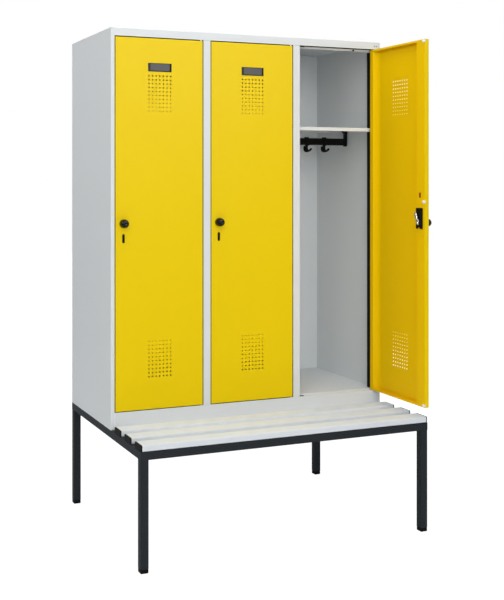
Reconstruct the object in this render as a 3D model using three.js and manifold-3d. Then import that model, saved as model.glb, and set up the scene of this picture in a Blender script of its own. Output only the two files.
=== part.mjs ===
// A three-compartment steel clothes locker that stands on a welded tube frame.
// The frame reaches out in front of the cabinet and carries three seat slats.
// Millimetres, +Z up. The doors face -Y and X runs to the right. The origin is on the floor,
// under the middle of the whole object, with the right-hand door standing open.

import * as THREE from "three";
import { mergeGeometries, mergeVertices } from "three/addons/utils/BufferGeometryUtils.js";
import Module from "manifold-3d";

const wasm = await Module();
wasm.setup();

// Overall sizes
const cabinetWidth = 1200;
const compartmentCount = 3;
const cabinetDepth = 500;
const totalHeight = 1950;
const frameHeight = 425;
const benchReach = 315;

// Clearances
const gap = 0.3;
const overrun = 5;

// Cabinet sheet metal
const sheet = 1;
const bendRadius = 1.8;
const postFace = 16;
const stopLip = 12;
const stopReturn = 7;
const topRailHeight = 31;
const topLip = 8;
const bottomRailHeight = 64.5;
const baseFlange = 20;
const floorStep = 3;
const rearFlange = 15;

// Hat shelf
const shelfDrop = 359.7;
const shelfLip = 14.5;
const shelfLipReturn = 10;
const shelfSetback = 1.5;

// Coat rail and its hanging hooks
const railDepthPlace = 245;
const railDrop = 50.8;
const railHeight = 30;
const railThickness = 13;
const railCorner = 3;
const railGroove = 1.5;
const railFlange = 5;
const bracketInset = 5.7;
const bracketWidth = 10.5;
const bracketThickness = 15;
const bracketFoot = 5;
const bracketPad = 10;
const bracketPadThickness = 3;
const gussetDrop = 9;
const hooksPerRail = 3;
const hookSpacing = 88;
const hookSpread = 192;
const hookWidth = 10;
const clipWidth = 13.5;
const clipWall = 3;
const clipCrown = 1.5;
const hookStroke = 7;
const hookDrop = 42.5;
const hookRoot = 10;
const hookFrontReach = 38;
const hookRearReach = 17;

// Doors
const doorThickness = 20;
const doorGap = 2.5;
const stopClearance = 4.5;
const doorCorner = 2;
const sideLip = 12;
const endLip = 8;
const hingeInset = 7;
const hingeSetback = 5;
const pinRadius = 2.5;
const pinCollarRadius = 4.5;
const pinGrip = 12;
const pinReach = 6;
const stiffenerWidth = 51;
const stiffenerLeg = 12;
const stiffenerFoot = 10;
const rightDoorOpening = 90;

// Name plate, set in a pocket that is pressed into the door's skin from outside
const pocketWidth = 98;
const pocketHeight = 33;
const pocketDrop = 111.5;
const pocketDepth = 3;
const plateThickness = 1.2;
const plateGrip = 9;

// Two fields of vents in each door: the holes grow towards the door's ends
const ventColumns = 7;
const ventRows = 10;
const ventPitch = 15;
const ventTopDrop = 144.5;
const ventBottomRise = 125;
const ventLargest = 6.6;
const ventSmallest = 4.2;

// Turning lock
const lockInset = 32.5;
const lockHeight = 1206;
const knobRadius = 17;
const knobHeight = 31;
const knobRim = 10;
const dimpleRadius = 5;
const dimpleDepth = 1.5;
const spindleRadius = 4;
const caseInset = 11;
const caseWidth = 38;
const caseTop = 57;
const caseBottom = 24;
const casePlate = 4.5;
const caseBossRadius = 11;
const caseNotchRadius = 8;
const camWidth = 12;
const camThickness = 3;
const camTail = 9;
const camReach = 42;
const camCrank = 8;
const camCrankStart = 11;
const camCrankEnd = 19;
const camLean = 10;
const nutRadius = 7.5;
const nutThickness = 5;
const haspSlotWidth = 11;
const haspSlotHeight = 35;
const haspSlotDrop = 57;
const inspectionSlotInset = 30;
const inspectionSlotWidth = 12;
const inspectionSlotHeight = 18;
const inspectionSlotRise = 108;

// Bench frame, feet and seat slats
const tubeSide = 30;
const tubeWall = 2;
const tubeCorner = 2;
const footHeight = 15;
const footStem = 28;
const footChamfer = 4;
const footRounding = 5;
const slatCount = 3;
const slatWidth = 65;
const slatThickness = 22.5;
const slatPitch = 106.5;
const slatCorner = 4;
const slatWall = 3;
const slatEndInset = 2;
const capThickness = 4;
const capPlug = 18;

// Smoothness of round forms
const pinSides = 6;
const knobSides = 14;
const holeSides = 6;
const ventSides = 4;
const bendSteps = 2;
const cornerSteps = 1;
const slatCornerSteps = 2;
const domeSteps = 3;
const nutSides = 6;

// Places that follow from the sizes above
const compartmentWidth = cabinetWidth / compartmentCount;
const cabinetBase = frameHeight + gap;
const jambDepth = doorThickness + stopClearance;
const openingBottom = cabinetBase + bottomRailHeight;
const openingTop = totalHeight - topRailHeight;
const floorTop = openingBottom + floorStep;
const shelfTop = totalHeight - shelfDrop;
const railHeightPlace = shelfTop - railDrop;
const roofUnderside = totalHeight - sheet;
const backPanelRear = cabinetDepth - sheet - gap;
const backPanelFront = backPanelRear - sheet;
const innerRear = backPanelFront - gap;
const shelfFront = jambDepth + shelfSetback;
const doorWidth = compartmentWidth - 2 * postFace - 2 * doorGap;
const doorBottom = openingBottom + doorGap;
const doorTop = openingTop - doorGap;
const pocketPlace = doorTop - pocketDrop;
const doorLeft = hingeInset - doorWidth;
const doorOuter = -hingeSetback;
const doorInner = doorOuter + doorThickness;
const skinInner = doorOuter + sheet;
const lockX = doorLeft + lockInset;

function hingeX(index) {
  return (index + 1) * compartmentWidth - postFace - doorGap - hingeInset;
}

function innerLeft(index) {
  return index === 0 ? sheet + gap : index * compartmentWidth + sheet / 2 + gap;
}

function innerRight(index) {
  const last = index === compartmentCount - 1;
  return last ? cabinetWidth - sheet - gap : (index + 1) * compartmentWidth - sheet / 2 - gap;
}

// Colours and finishes
const finishes = {
  cabinet: { color: 0xd4d8d9, roughness: 0.45, metalness: 0.1 },
  door: { color: 0xe6c40f, roughness: 0.42, metalness: 0.1 },
  frame: { color: 0x2c3033, roughness: 0.5, metalness: 0.2 },
  slat: { color: 0xdcdbd6, roughness: 0.5, metalness: 0 },
  blackPlastic: { color: 0x151515, roughness: 0.4, metalness: 0 },
  darkPlate: { color: 0x4d4f50, roughness: 0.5, metalness: 0 },
  zinc: { color: 0xc9cacb, roughness: 0.3, metalness: 1 },
};
const materials = {};
for (const [name, look] of Object.entries(finishes)) {
  materials[name] = new THREE.MeshStandardMaterial(look);
}

// Solids that can be joined and cut
function toSolid(geometry) {
  const bare = geometry.clone();
  bare.deleteAttribute("normal");
  bare.deleteAttribute("uv");
  const merged = mergeVertices(bare, gap / 1000);
  const vertProperties = new Float32Array(merged.attributes.position.array);
  const triVerts = new Uint32Array(merged.index.array);
  return new wasm.Manifold(new wasm.Mesh({ numProp: 3, vertProperties, triVerts }));
}

function toGeometry(solid) {
  const mesh = solid.getMesh();
  const geometry = new THREE.BufferGeometry();
  geometry.setAttribute("position", new THREE.BufferAttribute(mesh.vertProperties, 3));
  geometry.setIndex(new THREE.BufferAttribute(mesh.triVerts, 1));
  geometry.computeVertexNormals();
  return geometry;
}

function joined(...geometries) {
  return toGeometry(geometries.map(toSolid).reduce((whole, next) => whole.add(next)));
}

function common(first, second) {
  return toGeometry(toSolid(first).intersect(toSolid(second)));
}

function cut(base, ...tools) {
  return toGeometry(tools.map(toSolid).reduce((rest, tool) => rest.subtract(tool), toSolid(base)));
}

function block(x0, x1, y0, y1, z0, z1) {
  const box = new THREE.BoxGeometry(x1 - x0, y1 - y0, z1 - z0);
  return box.translate((x0 + x1) / 2, (y0 + y1) / 2, (z0 + z1) / 2);
}

// Extrusions along each axis: outlines are (x, y) for Z, (y, z) for X and (x, z) for Y
function extrudeZ(shape, z0, z1) {
  const body = new THREE.ExtrudeGeometry(shape, { depth: z1 - z0, bevelEnabled: false });
  return body.translate(0, 0, z0);
}

function extrudeX(shape, x0, x1) {
  const body = new THREE.ExtrudeGeometry(shape, { depth: x1 - x0, bevelEnabled: false });
  const turn = new THREE.Matrix4().makeBasis(
    new THREE.Vector3(0, 1, 0),
    new THREE.Vector3(0, 0, 1),
    new THREE.Vector3(1, 0, 0),
  );
  return body.applyMatrix4(turn).translate(x0, 0, 0);
}

function extrudeY(shape, y0, y1) {
  const body = new THREE.ExtrudeGeometry(shape, { depth: y1 - y0, bevelEnabled: false });
  return body.rotateX(Math.PI / 2).translate(0, y1, 0);
}

// A band that follows a path, reaching the given widths to its left and right
function band(path, left, right) {
  const normals = [];
  for (let i = 1; i < path.length; i += 1) {
    const dx = path[i][0] - path[i - 1][0];
    const dy = path[i][1] - path[i - 1][1];
    const length = Math.hypot(dx, dy);
    normals.push([-dy / length, dx / length]);
  }
  const side = (reach) => path.map(([x, y], i) => {
    const before = normals[Math.max(i - 1, 0)];
    const after = normals[Math.min(i, normals.length - 1)];
    const mitre = reach / (1 + before[0] * after[0] + before[1] * after[1]);
    return new THREE.Vector2(x + mitre * (before[0] + after[0]), y + mitre * (before[1] + after[1]));
  });
  return new THREE.Shape([...side(left), ...side(-right).reverse()]);
}

// A path whose corners are rounded: left turns by one radius and right turns by another
function rounded(path, leftRadius, rightRadius, steps) {
  const points = [path[0]];
  for (let i = 1; i + 1 < path.length; i += 1) {
    const [x, y] = path[i];
    const before = Math.atan2(y - path[i - 1][1], x - path[i - 1][0]);
    const after = Math.atan2(path[i + 1][1] - y, path[i + 1][0] - x);
    const turn = Math.atan2(Math.sin(after - before), Math.cos(after - before));
    const radius = turn > 0 ? leftRadius : rightRadius;
    const back = radius * Math.tan(Math.abs(turn) / 2);
    const side = Math.sign(turn) * radius;
    const startX = x - back * Math.cos(before);
    const startY = y - back * Math.sin(before);
    for (let step = 0; step <= steps; step += 1) {
      const angle = before + (turn * step) / steps;
      points.push([
        startX + side * (Math.sin(angle) - Math.sin(before)),
        startY - side * (Math.cos(angle) - Math.cos(before)),
      ]);
    }
  }
  points.push(path[path.length - 1]);
  return points;
}

// Folded sheet whose wall lies to the left or to the right of its path
function foldedLeft(path) {
  return band(rounded(path, bendRadius, bendRadius - sheet, bendSteps), sheet, 0);
}

function foldedRight(path) {
  return band(rounded(path, bendRadius - sheet, bendRadius, bendSteps), 0, sheet);
}

function roundedOutline(width, height, radius, steps = cornerSteps) {
  const outline = new THREE.Shape();
  const x = width / 2 - radius;
  const y = height / 2 - radius;
  outline.absarc(x, y, radius, 0, Math.PI / 2);
  outline.absarc(-x, y, radius, Math.PI / 2, Math.PI);
  outline.absarc(-x, -y, radius, Math.PI, 1.5 * Math.PI);
  outline.absarc(x, -y, radius, 1.5 * Math.PI, 2 * Math.PI);
  return new THREE.Shape(dropRepeats(outline.getPoints(steps)));
}

function dropRepeats(points) {
  const kept = [];
  for (const point of points) {
    if (kept.every((other) => other.distanceTo(point) > gap / 100)) {
      kept.push(point);
    }
  }
  return kept;
}

function moved(shape, x, y) {
  return new THREE.Shape(shape.getPoints().map((point) => new THREE.Vector2(point.x + x, point.y + y)));
}

function rodY(radius, y0, y1, x, z, sides = holeSides) {
  const rod = new THREE.CylinderGeometry(radius, radius, y1 - y0, sides);
  return rod.translate(x, (y0 + y1) / 2, z);
}

function rodZ(radius, z0, z1, x, y) {
  const rod = new THREE.CylinderGeometry(radius, radius, z1 - z0, holeSides).rotateX(Math.PI / 2);
  return rod.translate(x, y, (z0 + z1) / 2);
}

// The corner radius of a faceted hole that clears a round piece of the given radius
function clearing(radius) {
  return (radius + gap) / Math.cos(Math.PI / holeSides);
}

function slotY(width, height, y0, y1, x, z) {
  const outline = roundedOutline(width, height, width / 2 - gap / 10);
  return extrudeY(moved(outline, x, z), y0, y1);
}

function mesh(name, geometry, finish) {
  const piece = new THREE.Mesh(geometry, materials[finish]);
  piece.name = name;
  return piece;
}

const locker = new THREE.Group();

// Side panels: one folded sheet each, with the front post and its door stop in the same sheet
function stopClearing(x0, x1) {
  const behind = jambDepth + stopReturn + overrun;
  return [
    block(x0, x1, jambDepth - gap, behind, openingTop - topLip - gap, totalHeight + overrun),
    block(x0, x1, jambDepth - gap, behind, cabinetBase - overrun, floorTop + gap),
  ];
}

function leftSidePanel() {
  const section = foldedLeft([
    [rearFlange, cabinetDepth],
    [0, cabinetDepth],
    [0, 0],
    [postFace, 0],
    [postFace, jambDepth],
    [postFace + stopLip, jambDepth],
    [postFace + stopLip, jambDepth + stopReturn],
  ]);
  const whole = extrudeZ(section, cabinetBase, roofUnderside - gap);
  return cut(whole, ...stopClearing(sheet + gap, postFace + stopLip + overrun));
}

function rightSidePanel() {
  const section = foldedLeft([
    [cabinetWidth - postFace, jambDepth],
    [cabinetWidth - postFace, 0],
    [cabinetWidth, 0],
    [cabinetWidth, cabinetDepth],
    [cabinetWidth - rearFlange, cabinetDepth],
  ]);
  const whole = extrudeZ(section, cabinetBase, roofUnderside - gap);
  return cut(whole, ...stopClearing(cabinetWidth - postFace - overrun, cabinetWidth - sheet - gap));
}

locker.add(mesh("side_panel_left", leftSidePanel(), "cabinet"));
locker.add(mesh("side_panel_right", rightSidePanel(), "cabinet"));

// Partitions: a front post with a door stop, and one web that runs to the back
function partition(index) {
  const middle = index * compartmentWidth;
  const section = foldedLeft([
    [middle - postFace, jambDepth],
    [middle - postFace, 0],
    [middle + postFace, 0],
    [middle + postFace, jambDepth],
    [middle + postFace + stopLip, jambDepth],
    [middle + postFace + stopLip, jambDepth + stopReturn],
  ]);
  const low = openingBottom + gap;
  const post = extrudeZ(section, low, openingTop - gap);
  const half = sheet / 2;
  const web = block(middle - half, middle + half, half, innerRear, low, roofUnderside - gap);
  const x0 = middle - postFace - overrun;
  const x1 = middle + postFace + stopLip + overrun;
  const railClearing = jambDepth + sheet + gap;
  return cut(
    joined(post, web),
    block(x0, x1, -overrun, railClearing, openingTop - gap, totalHeight),
    block(x0, x1, jambDepth - gap, railClearing, openingTop - topLip - gap, totalHeight),
    block(x0, x1, jambDepth - gap, cabinetDepth, low - overrun, floorTop + gap),
  );
}

for (let index = 1; index < compartmentCount; index += 1) {
  locker.add(mesh(`partition_${index}`, partition(index), "cabinet"));
}

// Roof and floor: both are folded along X, and their front rails fit between the outer posts
function pinHoles(z0, z1) {
  const holes = [];
  for (let index = 0; index < compartmentCount; index += 1) {
    holes.push(rodZ(clearing(pinRadius), z0, z1, hingeX(index), hingeSetback));
  }
  return holes;
}

function bothEnds(reach) {
  return [
    [-overrun, reach + gap],
    [cabinetWidth - reach - gap, cabinetWidth + overrun],
  ];
}

function roofPanel() {
  const section = foldedLeft([
    [cabinetDepth, totalHeight - rearFlange],
    [cabinetDepth, totalHeight],
    [0, totalHeight],
    [0, openingTop],
    [jambDepth, openingTop],
    [jambDepth, openingTop - topLip],
  ]);
  const frontReach = jambDepth + sheet + overrun;
  const low = openingTop - topLip - overrun;
  const rear = cabinetDepth - sheet - gap;
  const corners = [];
  for (const [x0, x1] of bothEnds(postFace)) {
    corners.push(block(x0, x1, -overrun, frontReach, low, roofUnderside));
  }
  for (const [x0, x1] of bothEnds(rearFlange)) {
    corners.push(block(x0, x1, rear, cabinetDepth + overrun, low, roofUnderside));
  }
  const whole = extrudeX(section, 0, cabinetWidth);
  return cut(whole, ...corners, ...pinHoles(openingTop - overrun, openingTop + sheet + overrun));
}

function floorPanel() {
  const section = foldedRight([
    [baseFlange, cabinetBase],
    [0, cabinetBase],
    [0, openingBottom],
    [jambDepth, openingBottom],
    [jambDepth, floorTop],
    [innerRear, floorTop],
    [innerRear, cabinetBase],
  ]);
  const whole = extrudeX(section, sheet + gap, cabinetWidth - sheet - gap);
  const low = cabinetBase - overrun;
  const high = floorTop - sheet;
  const corners = bothEnds(postFace).map(([x0, x1]) => block(x0, x1, -overrun, jambDepth, low, high));
  return cut(whole, ...corners, ...pinHoles(openingBottom - sheet - overrun, openingBottom + overrun));
}

function backPanel() {
  const left = sheet + gap;
  return block(left, cabinetWidth - left, backPanelFront, backPanelRear, cabinetBase, roofUnderside - gap);
}

locker.add(mesh("top_panel", roofPanel(), "cabinet"));
locker.add(mesh("floor_panel", floorPanel(), "cabinet"));
locker.add(mesh("back_panel", backPanel(), "cabinet"));

// Hat shelves: a tray with its front edge folded down and back
function hatShelf(index) {
  const section = foldedRight([
    [shelfFront + shelfLipReturn, shelfTop - shelfLip],
    [shelfFront, shelfTop - shelfLip],
    [shelfFront, shelfTop],
    [innerRear, shelfTop],
    [innerRear, shelfTop - shelfLip],
  ]);
  const stopEnd = index * compartmentWidth + postFace + stopLip + gap;
  const behind = jambDepth + stopReturn + gap;
  const low = shelfTop - shelfLip - overrun;
  const high = shelfTop + overrun;
  return cut(
    extrudeX(section, innerLeft(index), innerRight(index)),
    block(innerLeft(index) - overrun, stopEnd, 0, behind, low, high),
  );
}

// Coat rails: a flat moulded bar with a bracket at each end, under the shelf
function coatRail(index) {
  const left = innerLeft(index) + bracketInset;
  const right = innerRight(index) - bracketInset;
  const barLeft = left + bracketWidth / 2;
  const barRight = right - bracketWidth / 2;
  const bar = extrudeX(
    moved(roundedOutline(railThickness, railHeight, railCorner), railDepthPlace, railHeightPlace),
    barLeft,
    barRight,
  );
  const face = railDepthPlace - railThickness / 2;
  const grooveHalf = railHeight / 2 - railFlange;
  const groove = block(
    barLeft - overrun, barRight + overrun, face - overrun, face + railGroove,
    railHeightPlace - grooveHalf, railHeightPlace + grooveHalf,
  );
  const top = shelfTop - sheet - gap;
  const bottom = railHeightPlace - railHeight / 2 - bracketFoot;
  const bracket = (outer, inward) => {
    const inner = outer + inward * bracketWidth;
    const outline = new THREE.Shape([
      new THREE.Vector2(outer, top),
      new THREE.Vector2(outer, bottom + bracketFoot),
      new THREE.Vector2(outer + inward * bracketFoot, bottom),
      new THREE.Vector2(inner, bottom),
      new THREE.Vector2(inner, top - bracketPadThickness - gussetDrop),
      new THREE.Vector2(inner + inward * bracketPad, top - bracketPadThickness),
      new THREE.Vector2(inner + inward * bracketPad, top),
    ]);
    const half = bracketThickness / 2;
    return extrudeY(outline, railDepthPlace - half, railDepthPlace + half);
  };
  return joined(cut(bar, groove), bracket(left, 1), bracket(right, -1));
}

// Coat hooks: a clip that slides on the rail, and a double hook below it
const hookPathShares = [
  [1, 0.44], [1, 0.78], [0.6, 1], [-0.2, 1], [-0.7, 0.92], [-1.05, 0.72],
];

function coatHook() {
  const side = railThickness / 2 + gap + clipWall / 2;
  const rim = railHeight / 2 + gap + clipWall / 2;
  const crown = rim + clipCrown;
  const clip = band(
    [[side, -rim / 2], [side, crown], [-side, crown], [-side, -rim], [railThickness / 4, -rim]],
    clipWall / 2,
    clipWall / 2,
  );
  const path = hookPathShares.map(([across, down]) => {
    return [across * (across > 0 ? hookRearReach : hookFrontReach), -down * hookDrop];
  });
  const prongs = band(path, hookStroke / 2, hookStroke / 2);
  const half = hookWidth / 2;
  return joined(
    extrudeX(clip, -clipWidth / 2, clipWidth / 2),
    extrudeX(prongs, -half, half),
    block(-half, half, -hookStroke / 2, hookStroke / 2, -hookDrop, -rim),
    block(-half, half, -hookRoot, 0, -hookDrop, hookRoot - hookDrop),
  );
}

for (let index = 0; index < compartmentCount; index += 1) {
  const number = index + 1;
  locker.add(mesh(`hat_shelf_${number}`, hatShelf(index), "cabinet"));
  locker.add(mesh(`coat_rail_${number}`, coatRail(index), "blackPlastic"));
  for (let turn = 0; turn < hooksPerRail; turn += 1) {
    const hook = mesh(`coat_hook_${number}_${turn + 1}`, coatHook(), "blackPlastic");
    const offset = hookSpread + (turn - (hooksPerRail - 1) / 2) * hookSpacing;
    hook.position.set(index * compartmentWidth + offset, railDepthPlace, railHeightPlace);
    locker.add(hook);
  }
}

// Doors: drawn closed, round the hinge axis at x = 0 and y = 0
function frontRounded(low, high) {
  const outline = [[low, doorInner], [low, doorOuter], [high, doorOuter], [high, doorInner]];
  const points = rounded(outline, doorCorner, doorCorner, bendSteps);
  return new THREE.Shape(points.map(([across, y]) => new THREE.Vector2(across, y)));
}

function vents() {
  const evenArea = Math.sqrt(Math.PI / ((ventSides / 2) * Math.sin((2 * Math.PI) / ventSides)));
  const middle = doorLeft + doorWidth / 2;
  const punches = [];
  for (let row = 0; row < ventRows; row += 1) {
    const size = ventLargest + ((ventSmallest - ventLargest) * row) / (ventRows - 1);
    const radius = (size / 2) * evenArea;
    for (let column = 0; column < ventColumns; column += 1) {
      const x = middle + (column - (ventColumns - 1) / 2) * ventPitch;
      const upper = doorTop - ventTopDrop - row * ventPitch;
      const lower = doorBottom + ventBottomRise + row * ventPitch;
      for (const z of [upper, lower]) {
        punches.push(rodY(radius, doorOuter - overrun, skinInner + sheet, x, z, ventSides));
      }
    }
  }
  return mergeGeometries(punches);
}

function doorPanel() {
  const right = hingeInset;
  const plan = extrudeZ(frontRounded(doorLeft, right), doorBottom, doorTop);
  const upright = new THREE.Shape(
    frontRounded(doorBottom, doorTop).getPoints().map(({ x: z, y }) => new THREE.Vector2(y, z)),
  );
  const shell = common(plan, extrudeX(upright, doorLeft, right));
  const hollow = block(
    doorLeft + sheet, right - sheet, skinInner, doorInner - sheet, doorBottom + sheet, doorTop - sheet,
  );
  const rear = block(
    doorLeft + sheet, right - sideLip, skinInner + sheet, doorInner + overrun,
    doorBottom + endLip, doorTop - endLip,
  );
  const front = doorOuter - overrun;
  const behind = skinInner + sheet;
  const pocketX = doorLeft + doorWidth / 2;
  const pocket = (margin, y0, y1) => {
    const across = pocketWidth / 2 + margin;
    const tall = pocketHeight / 2 + margin;
    return block(
      pocketX - across, pocketX + across, y0, y1, pocketPlace - tall, pocketPlace + tall,
    );
  };
  return cut(
    joined(cut(shell, hollow, rear), pocket(sheet, doorOuter + sheet / 2, skinInner + pocketDepth)),
    pocket(0, front, doorOuter + pocketDepth),
    slotY(haspSlotWidth, haspSlotHeight, front, behind, lockX, lockHeight - haspSlotDrop),
    rodY(clearing(spindleRadius), front, behind, lockX, lockHeight),
    rodZ(clearing(pinRadius), doorBottom - overrun, doorBottom + sheet + overrun, 0, 0),
    rodZ(clearing(pinRadius), doorTop - sheet - overrun, doorTop + overrun, 0, 0),
    vents(),
  );
}

function doorStiffener() {
  const left = doorLeft + sheet + gap;
  const right = doorLeft + stiffenerWidth;
  const footTop = skinInner + gap + sheet;
  const section = foldedRight([
    [left, doorInner - stiffenerLeg],
    [left, doorInner],
    [right, doorInner],
    [right, footTop],
    [right + stiffenerFoot, footTop],
  ]);
  const low = doorBottom + endLip + gap;
  const high = doorTop - endLip - gap;
  const front = doorInner - sheet - overrun;
  const behind = doorInner + overrun;
  return cut(
    extrudeZ(section, low, high),
    rodY(clearing(caseBossRadius), front, behind, lockX, lockHeight),
    slotY(
      inspectionSlotWidth, inspectionSlotHeight, front, behind,
      doorLeft + inspectionSlotInset, lockHeight + inspectionSlotRise,
    ),
  );
}

function lockCase() {
  const face = doorInner + gap;
  const left = doorLeft + caseInset;
  const plate = block(
    left, left + caseWidth, face, face + casePlate, lockHeight - caseBottom, lockHeight + caseTop,
  );
  const boss = rodY(caseBossRadius, skinInner + gap, face + casePlate / 2, lockX, lockHeight);
  const behind = face + casePlate + overrun;
  return cut(
    joined(plate, boss),
    rodY(clearing(spindleRadius), doorOuter, behind, lockX, lockHeight),
    rodY(caseNotchRadius, face - overrun, behind, lockX, lockHeight - caseBottom),
  );
}

function namePlate() {
  const floor = doorOuter + pocketDepth - gap;
  const face = floor - plateThickness;
  const x = doorLeft + doorWidth / 2;
  const across = pocketWidth / 2 - gap;
  const tall = pocketHeight / 2 - gap;
  const low = pocketPlace - tall;
  const high = pocketPlace + tall;
  const plate = block(x - across, x + across, face, floor, low, high);
  const grips = [-1, 1].map((end) => {
    const edges = [x + end * across, x + end * (across - plateGrip)].sort((a, b) => a - b);
    return block(...edges, doorOuter + gap, face + plateThickness / 2, low, high);
  });
  return joined(plate, ...grips);
}

function hingePin(side) {
  const edge = side > 0 ? doorTop : doorBottom;
  const rail = side > 0 ? openingTop : openingBottom;
  const inside = edge - side * pinGrip;
  const outside = rail + side * pinReach;
  const collarStart = edge + side * gap;
  const collarEnd = rail - side * gap;
  const profile = [
    [0, inside],
    [pinRadius, inside],
    [pinRadius, collarStart],
    [pinCollarRadius, collarStart],
    [pinCollarRadius, collarEnd],
    [pinRadius, collarEnd],
    [pinRadius, outside],
    [0, outside],
  ];
  const ordered = side > 0 ? profile : profile.reverse();
  const turned = new THREE.LatheGeometry(ordered.map(([r, z]) => new THREE.Vector2(r, z)), pinSides);
  return turned.rotateX(Math.PI / 2);
}

// The lock's knob and cam turn together about a line along Y, through x = 0 and z = 0
function lockKnob() {
  const tip = doorThickness + gap + casePlate + gap + camThickness + nutThickness / 2;
  const dome = [];
  for (let step = 0; step <= domeSteps; step += 1) {
    const angle = (step / domeSteps) * (Math.PI / 2);
    const radius = dimpleRadius + (knobRadius - dimpleRadius) * Math.sin(angle);
    dome.push([radius, -knobRim - (knobHeight - knobRim) * Math.cos(angle)]);
  }
  const profile = [
    [0, dimpleDepth - knobHeight],
    ...dome,
    [knobRadius, -gap],
    [spindleRadius, -gap],
    [spindleRadius, tip],
    [0, tip],
  ];
  return new THREE.LatheGeometry(profile.map(([r, y]) => new THREE.Vector2(r, y)), knobSides);
}

function latchCam() {
  const face = doorThickness + gap + casePlate + gap;
  const section = band(
    [
      [face, -camTail],
      [face, camCrankStart],
      [face + camCrank, camCrankEnd],
      [face + camCrank, camReach],
    ],
    0,
    camThickness,
  );
  const half = camWidth / 2;
  const arm = extrudeX(section, -half, half);
  const nutFace = face + camThickness;
  const nut = rodY(nutRadius, nutFace - gap, nutFace + nutThickness, 0, 0, nutSides);
  const bore = rodY(clearing(spindleRadius), face - overrun, nutFace + nutThickness / 2 + gap, 0, 0);
  return cut(joined(arm, nut), bore);
}

for (let index = 0; index < compartmentCount; index += 1) {
  const number = index + 1;
  const door = new THREE.Group();
  door.position.set(hingeX(index), hingeSetback, 0);
  door.add(mesh(`door_panel_${number}`, doorPanel(), "door"));
  door.add(mesh(`door_stiffener_${number}`, doorStiffener(), "door"));
  door.add(mesh(`lock_case_${number}`, lockCase(), "blackPlastic"));
  door.add(mesh(`name_plate_${number}`, namePlate(), "darkPlate"));
  door.add(mesh(`hinge_pin_top_${number}`, hingePin(1), "zinc"));
  door.add(mesh(`hinge_pin_bottom_${number}`, hingePin(-1), "zinc"));
  const latch = new THREE.Group();
  latch.position.set(lockX, doorOuter, lockHeight);
  latch.rotation.y = THREE.MathUtils.degToRad(camLean);
  latch.add(mesh(`lock_knob_${number}`, lockKnob(), "blackPlastic"));
  latch.add(mesh(`latch_cam_${number}`, latchCam(), "zinc"));
  door.add(latch);
  if (number === compartmentCount) {
    door.rotation.z = THREE.MathUtils.degToRad(rightDoorOpening);
  }
  locker.add(door);
}

// Bench frame: square tube with soft edges, welded, hollow right through and open at the feet
function softSquare(half, chamfer) {
  const side = half - chamfer;
  return [
    [half, -side], [half, side], [side, half], [-side, half],
    [-half, side], [-half, -side], [-side, -half], [side, -half],
  ];
}

function tubeSection(x, y) {
  const corners = softSquare(tubeSide / 2, tubeCorner);
  return new THREE.Shape(corners.map(([a, b]) => new THREE.Vector2(x + a, y + b)));
}

function benchFrame() {
  const tubes = [];
  const bores = [];
  const front = -benchReach;
  const rear = cabinetDepth;
  const under = frameHeight - tubeSide;
  const bore = (x0, x1, y0, y1, z0, z1) => {
    bores.push(block(x0 + tubeWall, x1 - tubeWall, y0 + tubeWall, y1 - tubeWall, z0, z1 - tubeWall));
  };
  const level = under + tubeSide / 2;
  for (const y of [front, rear - tubeSide]) {
    const middle = y + tubeSide / 2;
    for (const x of [0, cabinetWidth - tubeSide]) {
      tubes.push(extrudeZ(tubeSection(x + tubeSide / 2, middle), footHeight, under + tubeSide / 2));
      bore(x, x + tubeSide, y, y + tubeSide, footHeight - overrun, frameHeight);
    }
    tubes.push(extrudeX(tubeSection(middle, level), 0, cabinetWidth));
    bore(0, cabinetWidth, y, y + tubeSide, under + tubeWall, frameHeight);
  }
  for (const x of [0, cabinetWidth - tubeSide]) {
    tubes.push(extrudeY(tubeSection(x + tubeSide / 2, level), front, rear));
    bore(x, x + tubeSide, front, rear, under + tubeWall, frameHeight);
  }
  return cut(joined(...tubes), ...bores);
}

locker.add(mesh("bench_frame", benchFrame(), "frame"));

// Foot plugs: a rounded foot under each leg, with a stem inside the tube
function squareRing(half, chamfer, z) {
  return softSquare(half, chamfer).map(([x, y]) => [x, y, z]);
}

function loft(rings) {
  const count = rings[0].length;
  const positions = rings.flat(2);
  const index = [];
  for (let level = 0; level + 1 < rings.length; level += 1) {
    for (let corner = 0; corner < count; corner += 1) {
      const next = (corner + 1) % count;
      const [a, b] = [level * count + corner, level * count + next];
      index.push(a, b, b + count, a, b + count, a + count);
    }
  }
  const top = (rings.length - 1) * count;
  for (let corner = 1; corner + 1 < count; corner += 1) {
    index.push(0, corner + 1, corner);
    index.push(top, top + corner, top + corner + 1);
  }
  const body = new THREE.BufferGeometry();
  body.setAttribute("position", new THREE.Float32BufferAttribute(positions, 3));
  body.setIndex(index);
  body.computeVertexNormals();
  return body;
}

function footPlug() {
  const half = tubeSide / 2;
  const stem = half - tubeWall - gap;
  const soften = 1 - Math.SQRT1_2;
  return loft([
    squareRing(half - footRounding, footChamfer / 2, 0),
    squareRing(half - footRounding * soften, footChamfer, footRounding * soften),
    squareRing(half, footChamfer, footRounding),
    squareRing(half, footChamfer, footHeight - gap),
    squareRing(stem, footChamfer / 2, footHeight - gap),
    squareRing(stem, footChamfer / 2, footHeight + footStem),
  ]);
}

for (const [row, y] of [["front", -benchReach], ["rear", cabinetDepth - tubeSide]]) {
  for (const [side, x] of [["left", 0], ["right", cabinetWidth - tubeSide]]) {
    const foot = mesh(`foot_plug_${row}_${side}`, footPlug(), "blackPlastic");
    foot.position.set(x + tubeSide / 2, y + tubeSide / 2, 0);
    locker.add(foot);
  }
}

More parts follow.
